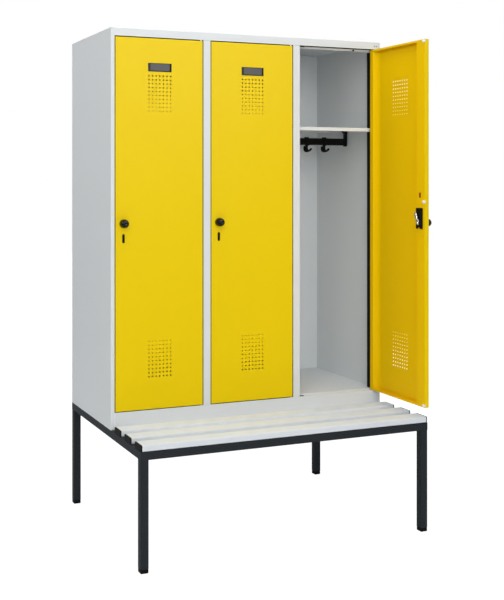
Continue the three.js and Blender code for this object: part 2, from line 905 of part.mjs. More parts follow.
// Seat slats: hollow profiles with two chambers, closed by an end cap at each end
function chamberBlock(side, clearance, x0, x1) {
  const width = (slatWidth - 3 * slatWall) / 2;
  const middle = (side * (slatWall + width)) / 2;
  const half = width / 2 - clearance;
  const tall = slatThickness / 2 - slatWall - clearance;
  return block(x0, x1, middle - half, middle + half, -tall, tall);
}

function seatSlat() {
  const end = slatEndInset + capThickness + gap;
  const outline = roundedOutline(slatWidth, slatThickness, slatCorner, slatCornerSteps);
  const whole = extrudeX(outline, end, cabinetWidth - end);
  const bores = [-1, 1].map((side) => chamberBlock(side, 0, -overrun, cabinetWidth + overrun));
  return cut(whole, ...bores);
}

function slatCap() {
  const outline = roundedOutline(slatWidth, slatThickness, slatCorner, slatCornerSteps);
  const plate = extrudeX(outline, 0, capThickness);
  const plugs = [-1, 1].map((side) => chamberBlock(side, gap, capThickness / 2, capPlug));
  return joined(plate, ...plugs);
}

for (let index = 0; index < slatCount; index += 1) {
  const number = index + 1;
  const y = -benchReach + slatWidth / 2 + index * slatPitch;
  const z = frameHeight + gap + slatThickness / 2;
  const slat = mesh(`seat_slat_${number}`, seatSlat(), "slat");
  slat.position.set(0, y, z);
  const leftCap = mesh(`slat_cap_left_${number}`, slatCap(), "blackPlastic");
  leftCap.position.set(slatEndInset, y, z);
  const rightCap = mesh(`slat_cap_right_${number}`, slatCap(), "blackPlastic");
  rightCap.rotation.z = Math.PI;
  rightCap.position.set(cabinetWidth - slatEndInset, y, z);
  locker.add(slat, leftCap, rightCap);
}

// The origin goes to the floor, under the middle of everything
const bounds = new THREE.Box3().setFromObject(locker);
const centre = bounds.getCenter(new THREE.Vector3());
locker.position.set(-centre.x, -centre.y, -bounds.min.z);
locker.updateMatrixWorld(true);

export default locker;
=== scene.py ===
# %% [markdown]
# # A three-door locker on a bench frame
#
# The real object is a steel clothes locker with three yellow doors. It stands on a welded tube
# frame that reaches out in front and carries three seat slats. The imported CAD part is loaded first
# as a fixed frame: it says where every piece sits and how it moves. This lesson then dresses it.
# The light grey cabinet, the door pans, the slats and the small plastic and zinc pieces are made
# again in mesh code with finer bends and rounder edges, and each one stands for its CAD node.
# Another way is to keep every CAD mesh and only paint it, but then each bend would show its facets.

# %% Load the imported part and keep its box
import bmesh
import bpy
import math
from mathutils import Matrix, Vector


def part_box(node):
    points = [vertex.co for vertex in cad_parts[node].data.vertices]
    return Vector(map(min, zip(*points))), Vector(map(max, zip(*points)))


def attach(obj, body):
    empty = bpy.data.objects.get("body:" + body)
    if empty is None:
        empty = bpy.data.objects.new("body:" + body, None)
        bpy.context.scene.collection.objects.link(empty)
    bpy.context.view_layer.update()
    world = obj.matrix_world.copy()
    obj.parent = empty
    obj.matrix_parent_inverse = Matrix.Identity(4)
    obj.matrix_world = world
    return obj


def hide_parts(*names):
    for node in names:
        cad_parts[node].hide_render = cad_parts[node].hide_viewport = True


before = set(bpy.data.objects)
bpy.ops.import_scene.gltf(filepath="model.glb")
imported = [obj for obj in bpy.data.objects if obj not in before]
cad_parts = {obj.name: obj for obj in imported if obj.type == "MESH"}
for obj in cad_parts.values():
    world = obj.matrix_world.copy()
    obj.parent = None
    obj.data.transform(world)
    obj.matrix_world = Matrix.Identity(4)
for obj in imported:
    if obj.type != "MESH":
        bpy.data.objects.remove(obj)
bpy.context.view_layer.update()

# %% [markdown]
# ## Sizes and places
#
# A workshop drawing of such a locker is in millimetres, measured from the cabinet's left front
# corner on the floor. Blender works in metres, in the part's own frame. One matrix turns the
# drawing's numbers into the frame, so every piece below is drawn in plain millimetres. Two CAD
# nodes give the corner, so nothing has to be fitted by hand.

# %% From the drawing's millimetres to the frame
corner = Vector((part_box("bench_frame")[0].x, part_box("side_panel_left")[0].y, 0.0))
to_frame = Matrix.Translation(corner) @ Matrix.Scale(0.001, 4)

cabinet_width = 1200.0
compartment = 400.0
cabinet_depth = 500.0
total_height = 1950.0
frame_height = 425.0
bench_reach = 315.0
gap = 0.3
hair = 0.05
steel = 1.0
clear = steel + gap
bend = 1.8
post_face = 16.0
rear_flange = 15.0
roof_lip = 8.0
base = frame_height + gap
opening_bottom = base + 64.5
opening_top = total_height - 31.0
floor_top = opening_bottom + 3.0
roof_underside = total_height - steel
jamb_depth = 24.5
inner_rear = cabinet_depth - 2 * clear
print("datum corner:", [round(v, 4) for v in corner])

# %% [markdown]
# ## Camera
#
# Every upright edge of the photograph is exactly upright, so the camera looked level and its lens
# was shifted down, as architects' cameras do. Place, turn, lens and shift were found by fitting
# about 140 measured edges, inside and outside, and leave about three quarters of a pixel. Tilting
# the camera instead of shifting it would make the posts lean towards each other.

# %% The photograph's camera
lens = bpy.data.cameras.new("photo_camera")
lens.sensor_width = 36.0
lens.lens = 58.418
lens.shift_x = 0.20383
lens.shift_y = -0.20162
lens.clip_start = 0.1
lens.clip_end = 60.0
camera = bpy.data.objects.new("photo_camera", lens)
camera.location = corner + Vector((-1.21653, -3.47375, 1.37564))
camera.rotation_euler = (math.radians(90.0), 0.0, math.radians(-20.41))
bpy.context.scene.collection.objects.link(camera)
bpy.context.scene.camera = camera
print("camera at", [round(v, 3) for v in camera.location], "lens", lens.lens)

# %% [markdown]
# ## Finishes
#
# Powder coat is a baked plastic skin. Close up it has a fine ripple like orange peel, and its gloss
# changes a little from place to place. Noise on Object coordinates gives both, with a bump for the
# ripple and a gentle change of roughness. Numbers that are the same all over are set on the
# shader's own sockets, and only a slight change of tone runs through nodes. The inside of the doors
# gets a warmer yellow. The burrs of the vents get a paler, brighter yellow: painted light round the
# holes.
# An image texture could do the same, but procedural noise has no seams and needs no unwrapping.

# %% Screen colours, as the numbers that shaders take
def colour(red, green, blue):
    """A screen colour from 0 to 255, as the linear number that Blender's shaders take."""
    def linear(value):
        value /= 255.0
        return value / 12.92 if value <= 0.04045 else ((value + 0.055) / 1.055) ** 2.4
    return (linear(red), linear(green), linear(blue))


print("a middle grey of the screen is", round(colour(128, 128, 128)[0], 3), "for a shader")

# %% A helper that builds one painted or moulded finish
def new_node(tree, kind, **values):
    """Adds a node and sets the sockets that are named, with _ for a space."""
    node = tree.nodes.new(kind)
    for label, value in values.items():
        node.inputs[label.replace("_", " ")].default_value = value
    return node


def finish(name, screen_colour, rough, shine=0.5, metal=0.0, grain=380.0, ripple=0.1,
           tone=0.02, patch=3.0):
    tint = colour(*screen_colour)
    material = bpy.data.materials.new(name)
    material.use_nodes = True
    tree = material.node_tree
    shader = tree.nodes["Principled BSDF"]
    shader.inputs["Metallic"].default_value = metal
    shader.inputs["Specular IOR Level"].default_value = shine
    place = new_node(tree, "ShaderNodeTexCoord")
    fine = new_node(tree, "ShaderNodeTexNoise", Scale=grain, Detail=2.0)
    tree.links.new(place.outputs["Object"], fine.inputs["Vector"])
    bump = new_node(tree, "ShaderNodeBump", Strength=ripple, Distance=0.0004)
    tree.links.new(fine.outputs["Fac"], bump.inputs["Height"])
    tree.links.new(bump.outputs["Normal"], shader.inputs["Normal"])
    broad = new_node(tree, "ShaderNodeTexNoise", Scale=patch, Detail=4.0)
    tree.links.new(place.outputs["Object"], broad.inputs["Vector"])
    tones = new_node(tree, "ShaderNodeMix")
    tones.data_type = "RGBA"
    tones.inputs[6].default_value = (*[v * (1 - tone) for v in tint], 1)
    tones.inputs[7].default_value = (*[min(1, v * (1 + tone)) for v in tint], 1)
    tree.links.new(broad.outputs["Fac"], tones.inputs[0])
    tree.links.new(tones.outputs[2], shader.inputs["Base Color"])
    gloss = new_node(tree, "ShaderNodeMapRange", To_Min=rough * 0.88, To_Max=rough * 1.12)
    tree.links.new(broad.outputs["Fac"], gloss.inputs["Value"])
    tree.links.new(gloss.outputs["Result"], shader.inputs["Roughness"])
    return material


print("finish helper is ready")

# %% The locker's finishes
grey_coat = finish("light_grey_coat", (224, 228, 230), 0.5, 0.12, ripple=0.12, tone=0.01)
yellow_coat = finish("yellow_coat", (240, 207, 0), 0.42, 0.08, ripple=0.12, tone=0.01)
# A warmer yellow for the faces inside the doors.
inner_coat = finish("yellow_coat_inside_warmer", (240, 196, 0), 0.45, 0.06, ripple=0.12, tone=0.01)
vent_burr_painted_light = finish("pale_yellow_painted_light_on_burrs", (252, 226, 60), 0.45, 0.06, ripple=0.12, tone=0.01)
dark_coat = finish("anthracite_coat", (42, 46, 50), 0.48, 0.04, grain=420, ripple=0.2, tone=0.04)
slat_skin = finish("slat_plastic", (222, 228, 234), 0.6, 0.05, grain=260, tone=0.01)
black_plastic = finish("black_plastic", (24, 24, 24), 0.4, 0.02, grain=900, ripple=0.15, tone=0.15)
gloss_black = finish("gloss_black_plastic", (3, 3, 3), 0.13, 0.2, grain=700, ripple=0.02, tone=0.1)
fine_plastic = {"grain": 800, "ripple": 0.06, "tone": 0.06, "patch": 40}
smoke_plate = finish("name_plate_plastic", (86, 87, 89), 0.35, 0.08, **fine_plastic)
lit_grip_grey = finish("plate_grip_painted_light", (44, 44, 45), 0.35, 0.05, **fine_plastic)
zinc = finish("zinc_plate", (226, 220, 216), 0.25, 0.5, 1.0,
              grain=160, ripple=0.08, tone=0.05, patch=60)
rubber = finish("buffer_rubber", (236, 233, 222), 0.6, 0.2, grain=900, tone=0.03, patch=90)
red_plastic = finish("red_insert_plastic", (136, 16, 4), 0.45, 0.05, grain=700, tone=0.08, patch=60)
gap_shade_and_marks_black = finish("black_gap_shade_and_marks", (8, 8, 8), 0.7, 0.0, grain=900, tone=0.15)
hinge_hollow_shade_black = finish("hinge_hollow_painted_shade", (18, 21, 26), 0.55, 0.05, grain=300, tone=0.1)
print("finishes:", len(bpy.data.materials))

# %% [markdown]
# ## Mesh helpers
#
# Most pieces of the locker are folded sheet or extruded profile: a flat outline pushed along one
# axis, with parts cut away. So three helpers do most of the work: one draws a folded sheet's
# outline with round bends, one pushes an outline along an axis, and one cuts or joins solids. An
# outline is a list of points and a solid is an object, both in drawing millimetres. A last helper
# moves the mesh into the frame, merges doubled points, points the faces outwards and hands the
# piece to its body.

# %% A path with round bends
def rounded(path, left_radius, right_radius, steps):
    """Puts an arc at every corner, with one radius for left turns and one for right turns."""
    points = [path[0]]
    for i in range(1, len(path) - 1):
        (px, py), (x, y), (nx, ny) = path[i - 1], path[i], path[i + 1]
        before = math.atan2(y - py, x - px)
        after = math.atan2(ny - y, nx - x)
        turn = math.atan2(math.sin(after - before), math.cos(after - before))
        radius = left_radius if turn > 0 else right_radius
        back = radius * math.tan(abs(turn) / 2)
        side = math.copysign(radius, turn)
        sx, sy = x - back * math.cos(before), y - back * math.sin(before)
        for step in range(steps + 1):
            angle = before + turn * step / steps
            points.append((sx + side * (math.sin(angle) - math.sin(before)),
                           sy - side * (math.cos(angle) - math.cos(before))))
    points.append(path[-1])
    return points


print("an elbow of two straights has", len(rounded([(0, 0), (9, 0), (9, 9)], 2, 2, 5)), "points")

# %% A folded sheet's outline
bend_steps = 5


def band(path, left, right):
    """The outline of a strip that reaches so far to the left and to the right of its path."""
    normals = []
    for (ax, ay), (bx, by) in zip(path, path[1:]):
        length = math.hypot(bx - ax, by - ay)
        normals.append(((ay - by) / length, (bx - ax) / length))
    sides = []
    for reach in (left, -right):
        edge = []
        for i, (x, y) in enumerate(path):
            a = normals[max(i - 1, 0)]
            b = normals[min(i, len(normals) - 1)]
            mitre = reach / (1 + a[0] * b[0] + a[1] * b[1])
            edge.append((x + mitre * (a[0] + b[0]), y + mitre * (a[1] + b[1])))
        sides.append(edge)
    return sides[0] + sides[1][::-1]


def folded(path, side):
    """The outline of a sheet whose wall lies to the left or to the right of its path."""
    if side == "left":
        return band(rounded(path, bend, bend - steel, bend_steps), steel, 0)
    return band(rounded(path, bend - steel, bend, bend_steps), 0, steel)


print("a folded edge has", len(folded([(0, 0), (10, 0), (10, 10)], "left")), "outline points")

# %% A rectangle with round corners
def soft_rectangle(width, height, radius, steps=5, cx=0.0, cy=0.0):
    points = []
    x, y = width / 2 - radius, height / 2 - radius
    for quarter, (sx, sy) in enumerate(((1, 1), (-1, 1), (-1, -1), (1, -1))):
        for step in range(steps + 1):
            angle = (quarter + step / steps) * math.pi / 2
            points.append((cx + sx * x + radius * math.cos(angle),
                           cy + sy * y + radius * math.sin(angle)))
    return points


print("a soft rectangle has", len(soft_rectangle(2, 1, 0.2)), "outline points")

# %% Solids: prisms, blocks and rods
def new_object(name, bm):
    bmesh.ops.remove_doubles(bm, verts=bm.verts, dist=0.0001)
    bmesh.ops.recalc_face_normals(bm, faces=bm.faces)
    mesh = bpy.data.meshes.new(name)
    bm.to_mesh(mesh)
    bm.free()
    piece = bpy.data.objects.new(name, mesh)
    bpy.context.scene.collection.objects.link(piece)
    return piece


lay_along = {
    "x": lambda a, b, along: (along, a, b),
    "y": lambda a, b, along: (a, along, b),
    "z": lambda a, b, along: (a, b, along),
}


def prism(name, outline, axis, low, high):
    """Pushes an outline along X, Y or Z. The outline is (y, z), (x, z) or (x, y)."""
    lay = lay_along[axis]
    bm = bmesh.new()
    first = [bm.verts.new(lay(a, b, low)) for a, b in outline]
    last = [bm.verts.new(lay(a, b, high)) for a, b in outline]
    bm.faces.new(first[::-1])
    bm.faces.new(last)
    for i in range(len(outline)):
        j = (i + 1) % len(outline)
        bm.faces.new((first[i], first[j], last[j], last[i]))
    return new_object(name, bm)


def block(x0, x1, y0, y1, z0, z1, name="block"):
    return prism(name, [(x0, y0), (x1, y0), (x1, y1), (x0, y1)], "z", z0, z1)


def rod(radius, axis, low, high, a, b, sides=32, name="rod"):
    turn = [2 * math.pi * (i + 0.5) / sides for i in range(sides)]
    outline = [(a + radius * math.cos(t), b + radius * math.sin(t)) for t in turn]
    return prism(name, outline, axis, low, high)


print("helpers for prisms, blocks and rods are ready")

# %% Solids: turned shapes
def turned(name, profile, axis, sides=48):
    """A lathe shape: the profile is (radius, place along the axis), from pole to pole."""
    bm = bmesh.new()
    rings = []
    for radius, along in profile:
        ring = []
        for i in range(sides if radius > 0 else 1):
            t = 2 * math.pi * i / sides
            a, b = radius * math.cos(t), radius * math.sin(t)
            ring.append(bm.verts.new((a, along, b) if axis == "y" else (a, b, along)))
        rings.append(ring)
    for low, high in zip(rings, rings[1:]):
        for i in range(sides):
            j = (i + 1) % sides
            face = [low[i % len(low)], low[j % len(low)], high[j % len(high)], high[i % len(high)]]
            bm.faces.new(list(dict.fromkeys(face)))
    return new_object(name, bm)


print("helper for turned shapes is ready")

# %% Cutting and joining
def settle(piece):
    """Turns the piece with its modifiers into a plain mesh."""
    depsgraph = bpy.context.evaluated_depsgraph_get()
    made = bpy.data.meshes.new_from_object(piece.evaluated_get(depsgraph))
    old = piece.data
    piece.modifiers.clear()
    piece.data = made
    bpy.data.meshes.remove(old)
    return piece


def combine(piece, tools, way="DIFFERENCE", solver="EXACT"):
    """Cuts the tools away from the piece, or joins them to it, and uses them up."""
    for tool in tools:
        step = piece.modifiers.new("combine", "BOOLEAN")
        step.operation = way
        step.solver = solver
        step.object = tool
        settle(piece)
        bpy.data.objects.remove(tool)
    return piece


print("helpers for cutting and joining are ready")

# %% Softening edges
def soften(piece, width, segments=3, angle=50.0):
    """Rounds the edges that are sharper than the angle."""
    bm = bmesh.new()
    bm.from_mesh(piece.data)
    bmesh.ops.remove_doubles(bm, verts=bm.verts, dist=0.0001)
    bmesh.ops.dissolve_limit(bm, angle_limit=math.radians(1), verts=bm.verts, edges=bm.edges)
    bm.to_mesh(piece.data)
    bm.free()
    step = piece.modifiers.new("soften", "BEVEL")
    step.width = width
    step.segments = segments
    step.limit_method = "ANGLE"
    step.angle_limit = math.radians(angle)
    step.use_clamp_overlap = True
    return settle(piece)


print("helper for soft edges is ready")

# %% Handing a finished piece over to its body
CABINET = "cabinet_and_bench"
sharp_edge = math.radians(35.0)


def hand_over(piece, look, body, stands_for=(), place=None):
    """Moves a finished mesh into the frame, shades it and lets it ride on its body."""
    piece.data.transform(to_frame @ (place or Matrix.Identity(4)))
    bm = bmesh.new()
    bm.from_mesh(piece.data)
    bmesh.ops.remove_doubles(bm, verts=bm.verts, dist=0.0000005)
    bmesh.ops.recalc_face_normals(bm, faces=bm.faces)
    for face in bm.faces:
        face.smooth = True
    for edge in bm.edges:
        edge.smooth = len(edge.link_faces) == 2 and edge.calc_face_angle(0.0) < sharp_edge
    bm.to_mesh(piece.data)
    bm.free()
    step = piece.modifiers.new("flats stay flat", "WEIGHTED_NORMAL")
    step.keep_sharp = True
    settle(piece)
    piece.data.materials.clear()
    piece.data.materials.append(look)
    for face in piece.data.polygons:
        face.material_index = 0
    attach(piece, body)
    if stands_for:
        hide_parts(*stands_for)
    return piece


print("helper for handing over is ready")

# %% [markdown]
# ## Side panels and partitions
#
# Each side of the cabinet is one folded sheet: its front edge turns in to make the post that the
# door closes beside, then goes back and in again to make the stop that the door closes against.
# The outline is drawn once, seen from above, and pushed up. A plain box would lose the
# round bends that catch the light along every post.

# %% Side panels
stop_edge = 28.0
stop_rear = 31.5
rail_start = 14.1


def stop_clearing(x0, x1):
    behind = jamb_depth + 12.0
    return [block(x0, x1, jamb_depth - gap, behind, opening_top - roof_lip - gap, total_height + 5.0),
            block(x0, x1, jamb_depth - gap, behind, base - 5.0, floor_top + gap)]


def rail_clearing(x0, x1):
    return block(x0, x1, -5, jamb_depth, opening_top - hair, total_height)


left_path = [(rear_flange, cabinet_depth), (0, cabinet_depth), (0, 0), (post_face, 0),
             (post_face, jamb_depth), (stop_edge, jamb_depth), (stop_edge, stop_rear)]
left_side = prism("side_left", folded(left_path, "left"), "z", base, roof_underside - gap)
combine(left_side, stop_clearing(clear, stop_edge + 5) + [rail_clearing(rail_start, stop_edge + 5)])
hand_over(left_side, grey_coat, CABINET, ["side_panel_left"])

right_post = cabinet_width - post_face
right_path = [(right_post, jamb_depth), (right_post, 0), (cabinet_width, 0),
              (cabinet_width, cabinet_depth), (cabinet_width - rear_flange, cabinet_depth)]
right_side = prism("side_right", folded(right_path, "left"), "z", base, roof_underside - gap)
combine(right_side, stop_clearing(right_post - 5, cabinet_width - clear)
        + [rail_clearing(right_post - 14, cabinet_width - rail_start)])
hand_over(right_side, grey_coat, CABINET, ["side_panel_right"])
print("side panels:", len(left_side.data.vertices), "and", len(right_side.data.vertices), "points")

# %% Partitions with their front posts
for index in (1, 2):
    middle = index * compartment
    path = [(middle - post_face, jamb_depth), (middle - post_face, 0),
            (middle + post_face, 0), (middle + post_face, jamb_depth),
            (middle + stop_edge, jamb_depth), (middle + stop_edge, stop_rear)]
    low = opening_bottom + gap
    post = prism(f"partition_post_{index}", folded(path, "left"), "z", low, opening_top - gap)
    web = block(middle - steel / 2, middle + steel / 2, 0.5, inner_rear, low, roof_underside - gap)
    combine(post, [web], "UNION")
    x0, x1, behind = middle - post_face - 5, middle + stop_edge + 5, jamb_depth + clear
    combine(post, [
        block(x0, x1, -5, behind, opening_top - gap, total_height),
        block(x0, x1, jamb_depth - gap, behind, opening_top - roof_lip - gap, total_height),
        block(x0, x1, jamb_depth - gap, cabinet_depth, low - 5, floor_top + gap),
    ])
    hand_over(post, grey_coat, CABINET, [f"partition_{index}"])
    print("partition", index, "has", len(post.data.vertices), "points")

# %% [markdown]
# ## Roof, floor and back
#
# The roof's front edge is the rail over the doors, with a lip behind it that the doors close
# against. The floor's front edge is the tall rail under them. Both are folded along the cabinet's
# width, so their outline is drawn from the side.

# %% Roof with its front rail
door_gap = 2.5
hinge_inset = 7.0
hinge_y = 5.0
pin_hole = 2.9


def hinge_x(index):
    return index * compartment - post_face - door_gap - hinge_inset


def both_ends(reach):
    return [(-5, reach + gap), (cabinet_width - reach - gap, cabinet_width + 5)]


roof_path = [(cabinet_depth, total_height - rear_flange), (cabinet_depth, total_height),
             (0, total_height), (0, opening_top), (jamb_depth, opening_top),
             (jamb_depth, opening_top - roof_lip)]
roof = prism("roof", folded(roof_path, "left"), "x", 0, cabinet_width)
corners = []
for reach, y0, y1 in ((post_face, clear, jamb_depth + 6), (rail_start + hair - gap, -5, clear),
                      (rear_flange, cabinet_depth - clear, cabinet_depth + 5)):
    corners += [block(x0, x1, y0, y1, opening_top - roof_lip - 5, roof_underside)
                for x0, x1 in both_ends(reach)]
pin_holes = [rod(pin_hole, "z", opening_top - 5, opening_top + 6, hinge_x(i), hinge_y)
             for i in (1, 2, 3)]
combine(roof, corners + pin_holes)
hand_over(roof, grey_coat, CABINET, ["top_panel"])
print("roof has", len(roof.data.vertices), "points")

# %% Floor with its tall front rail, and the plain back
floor_path = [(20, base), (0, base), (0, opening_bottom), (jamb_depth, opening_bottom),
              (jamb_depth, floor_top), (inner_rear, floor_top), (inner_rear, base)]
floor = prism("floor", folded(floor_path, "right"), "x", clear, cabinet_width - clear)
corners = [block(x0, x1, -5, jamb_depth, base - 5, floor_top - steel)
           for x0, x1 in both_ends(post_face)]
pin_holes = [rod(pin_hole, "z", opening_bottom - 6, opening_bottom + 5, hinge_x(i), hinge_y)
             for i in (1, 2, 3)]
combine(floor, corners + pin_holes)
hand_over(floor, grey_coat, CABINET, ["floor_panel"])
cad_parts["back_panel"].data.materials.clear()
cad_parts["back_panel"].data.materials.append(grey_coat)
print("floor has", len(floor.data.vertices), "points; the back keeps its CAD sheet")

# %% [markdown]
# ## Hat shelves
#
# Each shelf is a shallow tray. Its front edge is folded down and back, so that no sharp edge faces
# the user, and its rear edge is folded down for stiffness.

# %% Hat shelves
shelf_top = 1590.3
shelf_lip = 14.5
shelf_front = 26.0
web_clear = steel / 2 + gap


def inner_left(index):
    return clear if index == 1 else (index - 1) * compartment + web_clear


def inner_right(index):
    return cabinet_width - clear if index == 3 else index * compartment - web_clear


for index in (1, 2, 3):
    path = [(shelf_front + 10, shelf_top - shelf_lip), (shelf_front, shelf_top - shelf_lip),
            (shelf_front, shelf_top), (inner_rear, shelf_top), (inner_rear, shelf_top - shelf_lip)]
    shelf = prism(f"shelf_{index}", folded(path, "right"), "x", inner_left(index), inner_right(index))
    stop_end = (index - 1) * compartment + stop_edge + gap
    notch = block(inner_left(index) - 5, stop_end, 0, stop_rear + gap, shelf_top - 21, shelf_top + 5)
    combine(shelf, [notch])
    hand_over(shelf, grey_coat, CABINET, [f"hat_shelf_{index}"])
print("hat shelves: 3")

# %% [markdown]
# ## Vent punches
#
# Each door has two fields of small round holes, seven across and ten down, whose size grows
# towards the door's end. That is a rule, so Geometry Nodes make the punches: a grid gives the
# places, a Map Range turns the height of each place into a size, and a short cylinder is put on
# every point. The same tree makes the low burr that each punch leaves on the inside. Modelling 140
# holes by hand would be slow and hard to change.

# %% Helpers that start a tree of nodes and run it on an object
def start_tree(name, inputs):
    tree = bpy.data.node_groups.new(name, "GeometryNodeTree")
    tree.interface.new_socket("Geometry", in_out="INPUT", socket_type="NodeSocketGeometry")
    for label, kind in inputs:
        tree.interface.new_socket(label, in_out="INPUT", socket_type=kind)
    tree.interface.new_socket("Geometry", in_out="OUTPUT", socket_type="NodeSocketGeometry")
    return tree, tree.nodes.new("NodeGroupInput"), tree.nodes.new("NodeGroupOutput")


def run_tree(name, tree, values, points=()):
    mesh = bpy.data.meshes.new(name)
    mesh.from_pydata(list(points), [], [])
    piece = bpy.data.objects.new(name, mesh)
    bpy.context.scene.collection.objects.link(piece)
    step = piece.modifiers.new("nodes", "NODES")
    step.node_group = tree
    for item in tree.interface.items_tree:
        if item.in_out == "INPUT" and item.name in values:
            step[item.identifier] = values[item.name]
    return settle(piece)


def maths(tree, operation, *values):
    """A Math node. A value that is a socket is linked, and a number is set."""
    node = tree.nodes.new("ShaderNodeMath")
    node.operation = operation
    for value, socket in zip(values, node.inputs):
        if isinstance(value, float):
            socket.default_value = value
        else:
            tree.links.new(value, socket)
    return node.outputs[0]


print("helpers for trees of nodes are ready")

# %% A tree of nodes that places graded punches: its grid
punches, given, result = start_tree("Graded punches", [
    ("Columns", "NodeSocketInt"), ("Rows", "NodeSocketInt"), ("Pitch", "NodeSocketFloat"),
    ("Low Size", "NodeSocketFloat"), ("High Size", "NodeSocketFloat"), ("Depth", "NodeSocketFloat"),
    ("Material", "NodeSocketMaterial")])
link = punches.links.new
grid = new_node(punches, "GeometryNodeMeshGrid")
for count, size, points in (("Columns", "Size X", "Vertices X"), ("Rows", "Size Y", "Vertices Y")):
    gaps = maths(punches, "SUBTRACT", given.outputs[count], 1.0)
    span = maths(punches, "MULTIPLY", gaps, given.outputs["Pitch"])
    link(span, grid.inputs[size])
    link(given.outputs[count], grid.inputs[points])
print("punch tree: grid is in place")

# %% The size rule, the copies and the tree's end
spot = new_node(punches, "GeometryNodeInputPosition")
parts = new_node(punches, "ShaderNodeSeparateXYZ")
link(spot.outputs[0], parts.inputs[0])
rule = new_node(punches, "ShaderNodeMapRange")
link(parts.outputs["Y"], rule.inputs["Value"])
link(maths(punches, "MULTIPLY", span, -0.5), rule.inputs["From Min"])
link(maths(punches, "MULTIPLY", span, 0.5), rule.inputs["From Max"])
link(given.outputs["Low Size"], rule.inputs["To Min"])
link(given.outputs["High Size"], rule.inputs["To Max"])
size = new_node(punches, "ShaderNodeCombineXYZ", Z=1.0)
link(rule.outputs["Result"], size.inputs["X"])
link(rule.outputs["Result"], size.inputs["Y"])
punch = new_node(punches, "GeometryNodeMeshCylinder", Vertices=16, Radius=0.5)
link(given.outputs["Depth"], punch.inputs["Depth"])
copies = new_node(punches, "GeometryNodeInstanceOnPoints")
link(grid.outputs["Mesh"], copies.inputs["Points"])
link(punch.outputs["Mesh"], copies.inputs["Instance"])
link(size.outputs[0], copies.inputs["Scale"])
real = new_node(punches, "GeometryNodeRealizeInstances")
paint = new_node(punches, "GeometryNodeSetMaterial")
link(copies.outputs[0], real.inputs[0])
link(real.outputs[0], paint.inputs[0])
link(given.outputs["Material"], paint.inputs["Material"])
link(paint.outputs[0], result.inputs[0])
print("punch tree:", len(punches.nodes), "nodes")

# %% The door's sizes, round its hinge's axis
door_width = 363.0
door_left = hinge_inset - door_width
door_right = hinge_inset
door_outer = -hinge_y
door_inner = 15.0
door_bottom = opening_bottom + door_gap
door_top = opening_top - door_gap
door_middle = (door_left + door_right) / 2
print("a door is", door_width, "wide and", round(door_top - door_bottom, 1), "mm high")

# %% One field of vents
small_vent, large_vent, vent_pitch = 4.2, 6.6, 15.0


def vent_field(middle_z, low_size, high_size, depth=12.0, middle_y=door_outer):
    field = run_tree("vent_punches", punches, {
        "Columns": 7, "Rows": 10, "Pitch": vent_pitch, "Low Size": low_size,
        "High Size": high_size, "Depth": depth, "Material": yellow_coat})
    stand_up = Matrix.Rotation(math.pi / 2, 4, "X")
    field.data.transform(Matrix.Translation((door_middle, middle_y, middle_z)) @ stand_up)
    return field


trial = vent_field(0, small_vent, large_vent)
print("one vent field:", len(trial.data.polygons), "faces")
bpy.data.objects.remove(trial)

# %% [markdown]
# ## Doors
#
# A door is a shallow pan of folded sheet, open to the rear, with narrow lips at its top, bottom
# and hinge side. It is drawn shut, round its hinge's axis, as in a workshop. The solid is carved:
# a soft-edged slab, less its hollow, less the opening at the rear, the lock's slot and the vents.
# A pocket for the name plate is pressed in from outside, the free edge is opened for the buffers,
# and a sloping bead stiffens the hinge side. Three doors are made from one pan. The faces behind
# the skin get a warmer yellow, and the burrs of the vents a paler yellow that is painted light round
# the holes. The right-hand door stands open, so its finished mesh is turned by a right angle.

# %% Where each door stands and where its details lie
def door_place(index):
    turn = math.radians(90.0) if index == 3 else 0.0
    return Matrix.Translation((hinge_x(index), hinge_y, 0.0)) @ Matrix.Rotation(turn, 4, "Z")


door_lip = 8.0
hinge_lip = 20.0
hinge_slope = 30.0
lock_x = door_left + 32.5
lock_height = 1206.0
slot_height = 1149.0
plate_z = door_top - 111.5
vent_fields = ((door_top - 212.0, small_vent, large_vent),
               (door_bottom + 192.5, large_vent, small_vent))
buffer_heights = (door_top - 7.4, 1287, door_bottom + 7.4)
print("locks at", lock_height, "mm, name plates at", plate_z, "mm")

# %% A buffer's ball
def buffer_ball(z=0.0):
    """A ball beside the free edge, a little longer than round, that also opens the pan there."""
    rings = [t * math.pi / 16 for t in range(17)]
    ball = turned("buffer", [(7.0 * math.sin(t), -6.9 * math.cos(t)) for t in rings], "y", 32)
    longer = Matrix.Scale(1.35, 4, (1, 0, 0))
    ball.data.transform(Matrix.Translation((door_left + 7.6, 12.2, z)) @ longer)
    return ball


print("buffers at", [round(z, 1) for z in buffer_heights], "mm")

# %% Carve one door pan
pocket_x, pocket_z = 49.0, 16.5
bead_drop = 17.9
burr_rim, burr_depth, burr_y = 1.0, 2.0, -3.5


